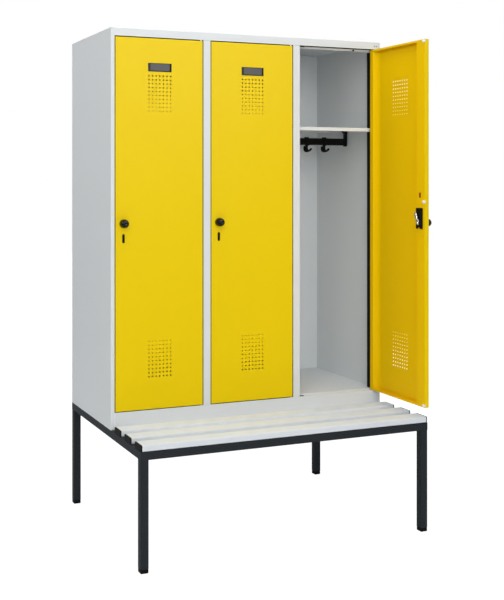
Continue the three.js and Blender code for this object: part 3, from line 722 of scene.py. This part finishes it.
def door_pan(name):
    pan = block(door_left, door_right, door_outer, door_inner, door_bottom, door_top, name)
    bm = bmesh.new()
    bm.from_mesh(pan.data)
    front = [e for e in bm.edges if all(abs(v.co.y - door_outer) < 0.01 for v in e.verts)]
    bmesh.ops.bevel(bm, geom=front, offset=2.0, segments=5, profile=0.5, affect="EDGES")
    bm.to_mesh(pan.data)
    bm.free()
    combine(pan, [
        block(door_left + steel, door_right - steel, -4, door_inner - steel,
              door_bottom + steel, door_top - steel),
        block(door_left + steel, door_right - hinge_lip, -3, door_inner + 5,
              door_bottom + door_lip, door_top - door_lip),
    ])
    bump = block(door_middle - pocket_x - 2, door_middle + pocket_x + 2, -4.6, -3.4,
                 plate_z - pocket_z - 2, plate_z + pocket_z + 2)
    combine(pan, [soften(bump, 0.6, 3)], "UNION")
    recess = block(door_middle - pocket_x, door_middle + pocket_x, -12, -4.1,
                   plate_z - pocket_z, plate_z + pocket_z)
    slot = prism("slot", soft_rectangle(11, 35, 5.4, 8, lock_x, slot_height), "y", -12, -1)
    spindle = rod(4.5, "y", -12, -1, lock_x, lock_height)
    combine(pan, [recess, slot, spindle] + [buffer_ball(z) for z in buffer_heights])
    for middle, low, high in vent_fields:
        burrs = vent_field(middle, low + burr_rim, high + burr_rim, burr_depth, burr_y)
        combine(pan, [burrs], "UNION", "MANIFOLD")
        combine(pan, [vent_field(middle, low, high)], solver="MANIFOLD")
    outline = [(door_right - 0.5, -4.5), (door_right - 0.5, door_inner - 0.4)]
    for t in [step / 10 for step in range(11)]:
        outline.append((door_right - hinge_lip + 0.5 - hinge_slope * t,
                        door_inner - 0.4 - bead_drop * (1 - (1 - t) ** 2)))
    outline.append((outline[-1][0] - 2, -4.5))
    bead = prism("bead", outline, "z", door_bottom + 0.5, door_top - 0.5)
    combine(pan, [bead], "UNION")
    pin_spans = ((door_bottom - 5, door_bottom + 13), (door_top - 13, door_top + 5))
    return combine(pan, [rod(pin_hole, "z", z0, z1, 0, 0) for z0, z1 in pin_spans])


master_pan = door_pan("door_pan")
print("one pan:", len(master_pan.data.polygons), "faces")

# %% Three doors from one pan, each painted by face
for index in (1, 2, 3):
    pan = bpy.data.objects.new(f"door_pan_{index}", master_pan.data.copy())
    bpy.context.scene.collection.objects.link(pan)
    hand_over(pan, yellow_coat, f"door_{index}", [f"door_panel_{index}"], door_place(index))
    pan.data.materials.append(inner_coat)
    pan.data.materials.append(vent_burr_painted_light)
    to_door = (to_frame @ door_place(index)).inverted()
    for face in pan.data.polygons:
        x, y, z = to_door @ face.center
        within = door_left + 0.5 < x < door_right - 0.5 and door_bottom + 0.5 < z < door_top - 0.5
        behind_skin = within and y > -4.5
        beside_vents = any(abs(z - field[0]) < 74 for field in vent_fields)
        # Faces on the burrs take the paler yellow, painted light round the holes.
        painted_light_burr_face = beside_vents and abs(x - door_middle) < 52 and -3.95 < y < -2.4
        face.material_index = (2 if painted_light_burr_face else 1) if behind_skin else 0
    print("door", index, "pan:", len(pan.data.polygons), "faces")
bpy.data.objects.remove(master_pan)

# %% [markdown]
# ## Door stiffeners
#
# A folded channel behind each door's free edge keeps it straight and carries the lock. It is seen
# only on the open door. It has a round hole for the lock and a small slot above it.

# %% Stiffeners
insert_height = 1313.0
for index in (1, 2, 3):
    left, right, foot = door_left + clear, door_left + 51, -2.7
    path = [(left, door_inner - 12), (left, door_inner), (right, door_inner),
            (right, foot), (right + 10, foot)]
    channel = prism(f"stiffener_{index}", folded(path, "right"), "z",
                    door_bottom + door_lip + gap, door_top - door_lip - gap)
    combine(channel, [
        rod(11.4, "y", 9, 20, lock_x, lock_height),
        prism("slot", soft_rectangle(12, 20, 2, 5, door_left + 30, insert_height), "y", 9, 20),
    ])
    hand_over(channel, inner_coat, f"door_{index}", [f"door_stiffener_{index}"],
              door_place(index))
print("stiffeners: 3")

# %% [markdown]
# ## Locks
#
# Outside, a glossy black knob turns the lock. It is a turned shape, so its half outline is spun
# round: a dome with a shallow dimple in its middle. Inside, a black case sits on the stiffener, and
# a bright zinc cam with a nut reaches over it. The cam is stamped and bent: its side view is a
# cranked strip, its front view a strip with round ends, and the solid that both views share is it.

# %% Knobs
def lock_place(index):
    lean = Matrix.Rotation(math.radians(10.0), 4, "Y")
    return door_place(index) @ Matrix.Translation((lock_x, door_outer, lock_height)) @ lean


knob_profile = [(0, -29.0), (2.0, -29.05), (3.6, -29.4), (4.8, -30.1), (5.8, -30.8), (6.6, -31.0)]
for turn in [t * math.pi / 28 for t in range(1, 15)]:
    knob_profile.append((6.6 + 10.4 * math.sin(turn), -10 - 21 * math.cos(turn)))
knob_profile += [(17, -1.2), (16.6, -0.5), (15.8, -0.3), (4, -0.3), (4, 29.9), (3.3, 30.6),
                 (0, 30.6)]
for index in (1, 2, 3):
    knob = turned(f"knob_{index}", knob_profile, "y")
    hand_over(knob, gloss_black, f"latch_{index}", [f"lock_knob_{index}"],
              lock_place(index))
print("knobs: 3, each", len(knob_profile), "rings")

# %% Cams with their nuts
for index in (1, 2, 3):
    side = band([(25.1, -9), (25.1, 11), (33.1, 19), (33.1, 42)], 0, 3)
    cam = prism(f"cam_{index}", side, "x", -6, 6)
    front = prism("front", soft_rectangle(12, 51, 5.9, 10, 0, 16.5), "y", 20, 45)
    combine(cam, [front], "INTERSECT")
    soften(cam, 0.5, 2)
    nut = rod(7.5, "y", 27.8, 33.1, 0, 0, 6, "nut")
    soften(nut, 0.7, 2, 40)
    combine(cam, [nut], "UNION")
    combine(cam, [rod(4.35, "y", 20, 30.9, 0, 0)])
    hand_over(cam, zinc, f"latch_{index}", [f"latch_cam_{index}"], lock_place(index))
print("cams: 3")

# %% Lock cases
case_low, case_high = 1182.0, 1263.0
for index in (1, 2, 3):
    left = door_left + 11
    case = block(left, left + 38, door_inner + gap, 19.8, case_low, case_high, f"case_{index}")
    soften(case, 1.2, 3)
    combine(case, [rod(11, "y", -3.7, 17, lock_x, lock_height, 48)], "UNION")
    combine(case, [rod(4.4, "y", -8, 25, lock_x, lock_height),
                   rod(8, "y", 10, 25, lock_x, case_low, 48)])
    hand_over(case, black_plastic, f"door_{index}", [f"lock_case_{index}"],
              door_place(index))
    insert = block(door_left + 22, door_left + 38, 12.5, 13.9, insert_height - 12,
                   insert_height + 12, f"slot_insert_{index}")
    hand_over(soften(insert, 0.4, 2), red_plastic, f"door_{index}", (), door_place(index))
    shutter = block(door_left + 23, door_left + 42, -3.9, -3.0, slot_height - 21,
                    slot_height + 21, f"slot_shutter_{index}")
    hand_over(soften(shutter, 0.3, 2), black_plastic, f"door_{index}", (), door_place(index))
print("lock cases: 3, slot inserts: 3, shutters: 3")

# %% [markdown]
# ## Name plates, hinge pins and buffers
#
# A dark plastic plate lies in each door's pocket, with a raised grip at both ends that holds the
# card. The left grip is lighter grey and the right one black, painted light and painted shade on a
# pair of like grips, and a thin black rim of painted shade runs round the card. The doors turn on
# short pins with a collar, in holes of the roof and the floor. Off-white rubber buffers near the free
# edge keep a shutting door quiet.

# %% Name plates with their card holders
plate_half, left_grip, right_grip = 48.7, 39.2, 41.6
plate_span = (plate_z - 16.2, plate_z + 16.2)
# The two grips are alike: the left one is lighter grey as painted light, the right one black as
# painted shade.
grips = (("left", -plate_half, -left_grip, lit_grip_grey),
         ("right", right_grip, plate_half, black_plastic))


def plate_block(name, x0, x1, y0, y1):
    return block(door_middle + x0, door_middle + x1, y0, y1, *plate_span, name)


for index in (1, 2, 3):
    plate = plate_block(f"plate_{index}", -plate_half, plate_half, -4.9, -4.2)
    hand_over(soften(plate, 0.2, 2), smoke_plate, f"door_{index}", [f"name_plate_{index}"],
              door_place(index))
    for side, x0, x1, look in grips:
        grip = plate_block(f"plate_grip_{side}_{index}", x0, x1, -5.7, -4.8)
        hand_over(soften(grip, 0.4, 2), look, f"door_{index}", (), door_place(index))
    # A thin black rim round the card is painted shade of the pocket's edges; the window sits high, so
    # the rim is wider at the bottom.
    rim = plate_block(f"plate_rim_{index}", -plate_half, plate_half, -5.5, -4.8)
    window = block(door_middle - left_grip, door_middle + right_grip, -9, 0,
                   plate_z - 13.0, plate_z + 14.6)
    hand_over(combine(rim, [window]), black_plastic, f"door_{index}", (), door_place(index))
print("name plates: 3, each with two grips and a rim")

# %% Hinge pins
for index in (1, 2, 3):
    ends = (("top", door_top, opening_top, 1), ("bottom", door_bottom, opening_bottom, -1))
    for end, edge, rail, side in ends:
        steps = [(0, edge, -12), (2.1, edge, -12), (2.5, edge, -11.6), (2.5, edge, 0.3),
                 (4.5, edge, 0.3), (4.5, rail, -0.3), (2.5, rail, -0.3), (2.5, rail, 5.5),
                 (2.0, rail, 6), (0, rail, 6)]
        profile = [(radius, level + side * out) for radius, level, out in steps]
        pin = turned(f"pin_{end}_{index}", profile, "z", 24)
        hand_over(pin, zinc, f"door_{index}", [f"hinge_pin_{end}_{index}"], door_place(index))
print("hinge pins: 6")

# %% A tree of nodes that puts a copy of a piece on every point
on_points, given, result = start_tree("Copies on points", [
    ("Piece", "NodeSocketObject"), ("Material", "NodeSocketMaterial")])
link = on_points.links.new
model = new_node(on_points, "GeometryNodeObjectInfo")
copies = new_node(on_points, "GeometryNodeInstanceOnPoints")
real = new_node(on_points, "GeometryNodeRealizeInstances")
paint = new_node(on_points, "GeometryNodeSetMaterial")
link(given.outputs["Piece"], model.inputs["Object"])
link(given.outputs["Geometry"], copies.inputs["Points"])
link(model.outputs["Geometry"], copies.inputs["Instance"])
link(copies.outputs[0], real.inputs[0])
link(real.outputs[0], paint.inputs[0])
link(given.outputs["Material"], paint.inputs["Material"])
link(paint.outputs[0], result.inputs[0])


def copies_of(piece, name, points, look):
    made = run_tree(name, on_points, {"Piece": piece, "Material": look}, points)
    bpy.data.objects.remove(piece)
    return made


print("tree for copies on points is ready")

# %% Buffers: three on each door, each showing through the free edge
for index in (1, 2, 3):
    buffer = buffer_ball()
    combine(buffer, [block(door_left - 9, door_left + 0.1, 0, 25, -9, 9)])
    row = copies_of(buffer, f"buffers_{index}", [(0, 0, z) for z in buffer_heights], rubber)
    hand_over(row, rubber, f"door_{index}", (), door_place(index))
print("buffers: 9")

# %% [markdown]
# ## Coat rails and hooks
#
# Under each shelf a flat black bar hangs on two moulded brackets, with double hooks clipped
# over it. The bar is an extruded outline with a shallow groove along its front. A hook is a strip
# that is swept along a bent path, thinner at its two tips, under a clip that wraps the bar.

# %% Coat rails
rail_y, rail_z = 245.0, 1539.5
rail_margin = 5.7
for index in (1, 2, 3):
    left, right = inner_left(index) + rail_margin, inner_right(index) - rail_margin
    outline = soft_rectangle(13, 30, 3, 6, rail_y, rail_z)
    bar = prism(f"rail_{index}", outline, "x", left + 5, right - 5)
    combine(bar, [block(left - 5, right + 5, rail_y - 12, rail_y - 5, rail_z - 10, rail_z + 10)])
    soften(bar, 0.5, 2)
    top, bottom = shelf_top - steel - gap, rail_z - 20.0
    for outer, way in ((left, 1), (right, -1)):
        inner = outer + way * 10.5
        outline = [(outer, top), (outer, bottom + 5), (outer + way * 5, bottom), (inner, bottom),
                   (inner, top - 12), (inner + way * 10, top - 3), (inner + way * 10, top)]
        arm = prism("arm", outline, "y", rail_y - 7.5, rail_y + 7.5)
        combine(bar, [soften(arm, 0.8, 2, 30)], "UNION")
    hand_over(bar, black_plastic, CABINET, [f"coat_rail_{index}"])
print("coat rails: 3")

# %% A smooth path through some points
def smooth_path(points):
    """A Catmull-Rom curve: it passes through every point and turns gently between them."""
    steps = 6
    ends = [points[0]] + list(points) + [points[-1]]
    path = []
    for a, b, c, d in zip(ends, ends[1:], ends[2:], ends[3:]):
        for step in range(steps):
            t = step / steps
            path.append(tuple(
                0.5 * (2 * q + (r - p) * t + (2 * p - 5 * q + 4 * r - s) * t * t
                       + (3 * q - p - 3 * r + s) * t ** 3) for p, q, r, s in zip(a, b, c, d)))
    path.append(points[-1])
    return path


prongs = smooth_path([(17, -18.7), (17, -33.2), (10.2, -41.5), (-7.6, -42.5), (-26.6, -39.1),
                      (-39.9, -30.6)])
print("a hook's path has", len(prongs), "points")

# %% A soft strip swept along a path
def swept(name, path, width, stroke):
    """A soft strip along a path in the (y, z) plane, rounded at its two tips."""
    bm = bmesh.new()
    rings = []
    count = len(path)
    for i, (y, z) in enumerate(path):
        ahead, behind = path[min(i + 1, count - 1)], path[max(i - 1, 0)]
        dy, dz = ahead[0] - behind[0], ahead[1] - behind[1]
        length = math.hypot(dy, dz)
        ny, nz = -dz / length, dy / length
        near = min(i, count - 1 - i) / 2.5
        ease = math.sqrt(max(0.12, 1 - (1 - min(1.0, near)) ** 2))
        ring = []
        for a, b in soft_rectangle(width, stroke, stroke * 0.45, 3):
            ring.append(bm.verts.new((a * ease, y + b * ease * ny, z + b * ease * nz)))
        rings.append(ring)
    for low, high in zip(rings, rings[1:]):
        for i in range(len(low)):
            j = (i + 1) % len(low)
            bm.faces.new((low[i], low[j], high[j], high[i]))
    bm.faces.new(rings[0][::-1])
    bm.faces.new(rings[-1])
    return new_object(name, bm)


print("helper for swept strips is ready")

# %% Hooks
hook_pitch = 88
clip_path = rounded([(8.3, -8.4), (8.3, 18.3), (-8.3, 18.3), (-8.3, -16.8), (3.3, -16.8)],
                    2.5, 2.5, 4)
for index in (1, 2, 3):
    for turn in (1, 2, 3):
        hook = swept(f"hook_{index}_{turn}", prongs, 10, 7)
        clip = prism("clip", band(clip_path, 1.5, 1.5), "x", -6.75, 6.75)
        stem = block(-5, 5, -3.5, 3.5, -43, -16.5)
        root = block(-4.9, 4.9, -10, 1, -43, -32.5)
        combine(hook, [soften(clip, 0.5, 2), soften(stem, 0.8, 2), soften(root, 2, 3)], "UNION")
        x = (index - 1) * compartment + 192 + (turn - 2) * hook_pitch
        hand_over(hook, black_plastic, f"hook_{index}_{turn}", [f"coat_hook_{index}_{turn}"],
                  Matrix.Translation((x, rail_y, rail_z)))
print("hooks: 9, each", len(hook.data.polygons), "faces")

# %% [markdown]
# ## Bench frame, feet and slats
#
# The frame is square steel tube with soft edges, welded at its corners and coated dark grey. Tubes
# are soft rectangles pushed along their axis and joined into one solid. Rounded black plugs close
# the legs. The three slats are one extruded profile, repeated on points by the second tree of
# nodes, and so are their end caps and the feet.

# %% Tube frame
tube, foot_height = 30.0, 15.0
half_tube = tube / 2
tube_middle = frame_height - half_tube
tube_rows = (-bench_reach, cabinet_depth - tube)
tube_columns = (0, cabinet_width - tube)


def tube_outline(a, b):
    return soft_rectangle(tube, tube, 2.5, 4, a, b)


tubes = []
for y in tube_rows:
    for x in tube_columns:
        tubes.append(prism("leg", tube_outline(x + half_tube, y + half_tube), "z",
                           foot_height, frame_height - 2))
for y in tube_rows:
    tubes.append(prism("cross", tube_outline(y + half_tube, tube_middle), "x", 0, cabinet_width))
for x in tube_columns:
    tubes.append(prism("side", tube_outline(x + half_tube, tube_middle), "y",
                       -bench_reach + 1, cabinet_depth - 1))
bench = tubes[0]
bench.name = "bench_tubes"
combine(bench, tubes[1:], "UNION")
hand_over(bench, dark_coat, CABINET, ["bench_frame"])
print("bench frame:", len(bench.data.polygons), "faces")

# %% Feet
foot = prism("foot", soft_rectangle(tube, tube, 4), "z", 0, foot_height - gap)
soften(foot, 3.2, 5, 60)
legs = [(x + half_tube, y + half_tube, 0) for x in tube_columns for y in tube_rows]
feet = copies_of(foot, "feet", legs, black_plastic)
plugs = [f"foot_plug_{row}_{side}" for row in ("front", "rear") for side in ("left", "right")]
hand_over(feet, black_plastic, CABINET, plugs)
print("feet: 4")

# %% Slats and end caps
slat_width, slat_height, slat_pitch = 65.0, 22.5, 106.5
cap_inset, cap_width = 2.0, 4.0
slat_start = cap_inset + cap_width + gap
rows = [-bench_reach + slat_width / 2 + i * slat_pitch for i in range(3)]
level = frame_height + gap + slat_height / 2
profile = soft_rectangle(slat_width, slat_height, 4, 6)
slat = prism("slat", profile, "x", slat_start, cabinet_width - slat_start)
slats = copies_of(slat, "seat_slats", [(0, y, level) for y in rows], slat_skin)
hand_over(slats, slat_skin, CABINET, [f"seat_slat_{i}" for i in (1, 2, 3)])
for side, x in (("left", cap_inset), ("right", cabinet_width - cap_inset - cap_width)):
    cap = soften(prism("cap", profile, "x", 0, cap_width), 0.35, 2, 60)
    caps = copies_of(cap, f"slat_caps_{side}", [(x, y, level) for y in rows], black_plastic)
    hand_over(caps, black_plastic, CABINET, [f"slat_cap_{side}_{i}" for i in (1, 2, 3)])
print("slats: 3, caps: 6")

# %% [markdown]
# ## Hinge-side angles and gap strips of painted shade
#
# Behind the post at the hinge side stands an upright dark angle, from the floor to the roof's stop
# lip. It is painted shade: a dark sheet that stands for the deep shade in the hollow at the hinge
# side of the opening. The shelf passes in front of it through a notch.
# The gaps round a shut door look black with shade, so thin black strips of painted shade lie in them:
# a bead on the post beside the door's free edge, a flat strip on the post at its hinge side, one
# under the roof's rail, deeper and darker at its ends, and one under the door itself. The open
# compartment shows no bead on its post, so it has none there. A small black pad lies on the bottom
# rail at each opening's left end, a small black block on the roof's stop lip is painted shade of a
# notch, and two screw heads show on the rail at the right end. All are thin trim, so they stay out of
# the CAD.

# %% Hinge-side angles of painted shade
def opening_sides(index):
    return (index - 1) * compartment + post_face, index * compartment - post_face


for index in (1, 2, 3):
    left, right = opening_sides(index)
    # A dark angle of painted shade stands for the deep shade in the hollow beside the hinge.
    angle = band([(right + 0.6, 26), (right - 13, 26), (right - 13, 52)], 0, 1.2)
    cover = prism(f"hinge_side_cover_{index}", angle, "z", floor_top + gap,
                  opening_top - roof_lip - 0.4)
    notch = block(right - 20, right + 5, 20, 60, shelf_top - shelf_lip - gap, shelf_top + gap)
    hand_over(soften(combine(cover, [notch]), 0.3, 2), hinge_hollow_shade_black, CABINET)
print("hinge-side covers: 3")

# %% Strips of painted shade beside and under the doors
collar_hole = 5.4
seal_low, seal_high = opening_bottom + 0.5, opening_top - 0.5
for index in (1, 2, 3):
    left, right = opening_sides(index)
    if index < 3:
        bead = block(left - 1.0, left + 2.1, 0.1, 8, seal_low, seal_high, f"bead_seal_{index}")
        hand_over(soften(bead, 0.3, 2), gap_shade_and_marks_black, CABINET)
    flat = block(right - 0.7, right + 0.6, 0.4, 14, seal_low, seal_high, f"flat_seal_{index}")
    hand_over(soften(flat, 0.2, 2), gap_shade_and_marks_black, CABINET)
    lower = block(door_left + 18, door_right - 2, -4.6, 8, door_bottom - 2.1, door_bottom + 0.6,
                  f"lower_seal_{index}")
    combine(lower, [rod(collar_hole, "z", door_bottom - 6, door_bottom + 3, 0, 0)])
    hand_over(soften(lower, 0.3, 2), gap_shade_and_marks_black, f"door_{index}", (), door_place(index))
print("seals beside and under the doors: 8")

# %% Strips of painted shade over the doors, pads, notch shade and screws
rail_bend = [math.radians(a) for a in (30, 45, 60, 75, 90)]
over = [(bend * (1 - math.cos(a)) - hair, opening_top + bend * (1 - math.sin(a)) - hair)
        for a in rail_bend]
end_drop = 2.3
for index in (1, 2, 3):
    left, right = opening_sides(index)
    # The strips hang lower at both ends, so the painted shade is darker there; over the open door the
    # middle strip is thinner.
    middle_drop = 0.5 if index == 3 else 1.5
    for part, x0, x1, drop in (("middle", left + 29, right - 24, middle_drop),
                               ("left", left + 0.4, left + 29, end_drop),
                               ("right", right - 24, right - 0.4, end_drop)):
        foot = opening_top - drop
        outline = [(20, opening_top - hair), (20, foot), (0.1, foot), (0.1, over[0][1])] + over
        upper = prism(f"upper_seal_{part}_{index}", outline, "x", x0, x1)
        combine(upper, [rod(collar_hole, "z", opening_top - 6, opening_top + 3,
                            hinge_x(index), hinge_y)])
        hand_over(upper, gap_shade_and_marks_black, CABINET)
    pads = block(left + 0.3, left + 20, 1.8, 11, opening_bottom + hair, opening_bottom + 2.1,
                 f"stop_pads_{index}")
    # A small black block on the stop lip is painted shade of a notch.
    lip_notch_shade = block(left + 264, left + 272, 23.2, 24.4, opening_top - 7.8, opening_top - 1.6)
    hand_over(combine(pads, [lip_notch_shade], "UNION"), gap_shade_and_marks_black, CABINET)
dots = [rod(2.3, "y", -0.1, 0.6, x, 1933, 24, f"rail_screw_{x}") for x in (1172, 1182)]
hand_over(combine(dots[0], dots[1:], "UNION"), gap_shade_and_marks_black, CABINET)
print("seals over the doors: 9, stop pads: 6, rail screws: 2")

# %% [markdown]
# ## Floor, world and lights
#
# The photograph has a pure white ground. A pale floor keeps the object's soft shadow, and its
# camera rays are mixed with plain white so that it melts into the world. The world is white for the
# camera, for glossy and for transmitted rays, and gives a plain soft light to all others. Large
# lamps stand all round and above, as softboxes do in a studio, so the shades stay gentle.

# %% Floor
bm = bmesh.new()
bmesh.ops.create_grid(bm, x_segments=1, y_segments=1, size=14.0)
ground = bpy.data.meshes.new("studio_floor")
bm.to_mesh(ground)
bm.free()
studio_floor = bpy.data.objects.new("studio_floor", ground)
bpy.context.scene.collection.objects.link(studio_floor)
ground_look = bpy.data.materials.new("studio_ground")
ground_look.use_nodes = True
tree = ground_look.node_tree
shader = tree.nodes["Principled BSDF"]
shader.inputs["Base Color"].default_value = (0.93, 0.93, 0.93, 1)
shader.inputs["Roughness"].default_value = 0.9
rays = new_node(tree, "ShaderNodeLightPath")
glow = new_node(tree, "ShaderNodeEmission", Strength=1.2)
place = new_node(tree, "ShaderNodeTexCoord")
away = new_node(tree, "ShaderNodeVectorMath")
away.operation = "LENGTH"
fade = new_node(tree, "ShaderNodeMapRange", From_Min=1.5, From_Max=4.0, To_Min=0.75, To_Max=1.0)
blend = new_node(tree, "ShaderNodeMixShader")
tree.links.new(place.outputs["Object"], away.inputs[0])
tree.links.new(away.outputs["Value"], fade.inputs["Value"])
share = maths(tree, "MULTIPLY", rays.outputs["Is Camera Ray"], fade.outputs["Result"])
tree.links.new(share, blend.inputs["Fac"])
tree.links.new(shader.outputs[0], blend.inputs[1])
tree.links.new(glow.outputs[0], blend.inputs[2])
tree.links.new(blend.outputs[0], tree.nodes["Material Output"].inputs["Surface"])
ground.materials.append(ground_look)
print("floor is staged")

# %% World
world = bpy.data.worlds.new("studio_world")
bpy.context.scene.world = world
world.use_nodes = True
tree = world.node_tree
ambient = tree.nodes["Background"]
ambient.inputs["Color"].default_value = (1, 1, 1, 1)
ambient.inputs["Strength"].default_value = 0.02
seen = new_node(tree, "ShaderNodeBackground", Color=(1, 1, 1, 1), Strength=1.0)
rays = new_node(tree, "ShaderNodeLightPath")
choose = new_node(tree, "ShaderNodeMixShader")
plain = maths(tree, "MAXIMUM", rays.outputs["Is Camera Ray"], rays.outputs["Is Glossy Ray"])
plain = maths(tree, "MAXIMUM", plain, rays.outputs["Is Transmission Ray"])
tree.links.new(plain, choose.inputs["Fac"])
tree.links.new(ambient.outputs[0], choose.inputs[1])
tree.links.new(seen.outputs[0], choose.inputs[2])
tree.links.new(choose.outputs[0], tree.nodes["World Output"].inputs["Surface"])
print("world is white for the camera")

# %% Lights
def softbox(name, position, target, size, power):
    lamp = bpy.data.lights.new(name, "AREA")
    lamp.shape = "SQUARE"
    lamp.size = size
    lamp.energy = power
    holder = bpy.data.objects.new(name, lamp)
    holder.location = position
    holder.rotation_euler = (Vector(target) - Vector(position)).to_track_quat("-Z", "Y").to_euler()
    bpy.context.scene.collection.objects.link(holder)
    return holder


softbox("front_softbox", (-0.8, -5.2, 2.4), (0.0, 0.0, 1.1), 3.0, 100)
softbox("left_softbox", (-4.4, 0.9, 3.5), (-0.2, 0.1, 1.3), 2.4, 55)
softbox("left_front_softbox", (-3.6, -4.2, 3.0), (0.0, 0.0, 1.1), 2.4, 22)
softbox("high_front_softbox", (-2.4, -3.2, 4.2), (0.0, 0.0, 1.2), 2.2, 47)
softbox("top_softbox", (0.0, -0.4, 4.6), (0.0, 0.0, 1.0), 3.0, 97)
softbox("back_softbox", (1.4, 4.4, 2.4), (0.0, 0.3, 1.0), 2.4, 70)
softbox("right_softbox", (4.6, 1.2, 1.5), (0.6, 0.1, 1.2), 2.4, 46)
card = softbox("sheen_card", (1.9, -5.2, 3.3), (0.0, 0.0, 1.4), 2.0, 240)
card.visible_diffuse = False
scene = bpy.context.scene
scene.view_settings.view_transform = "Standard"
print("lights: 8")
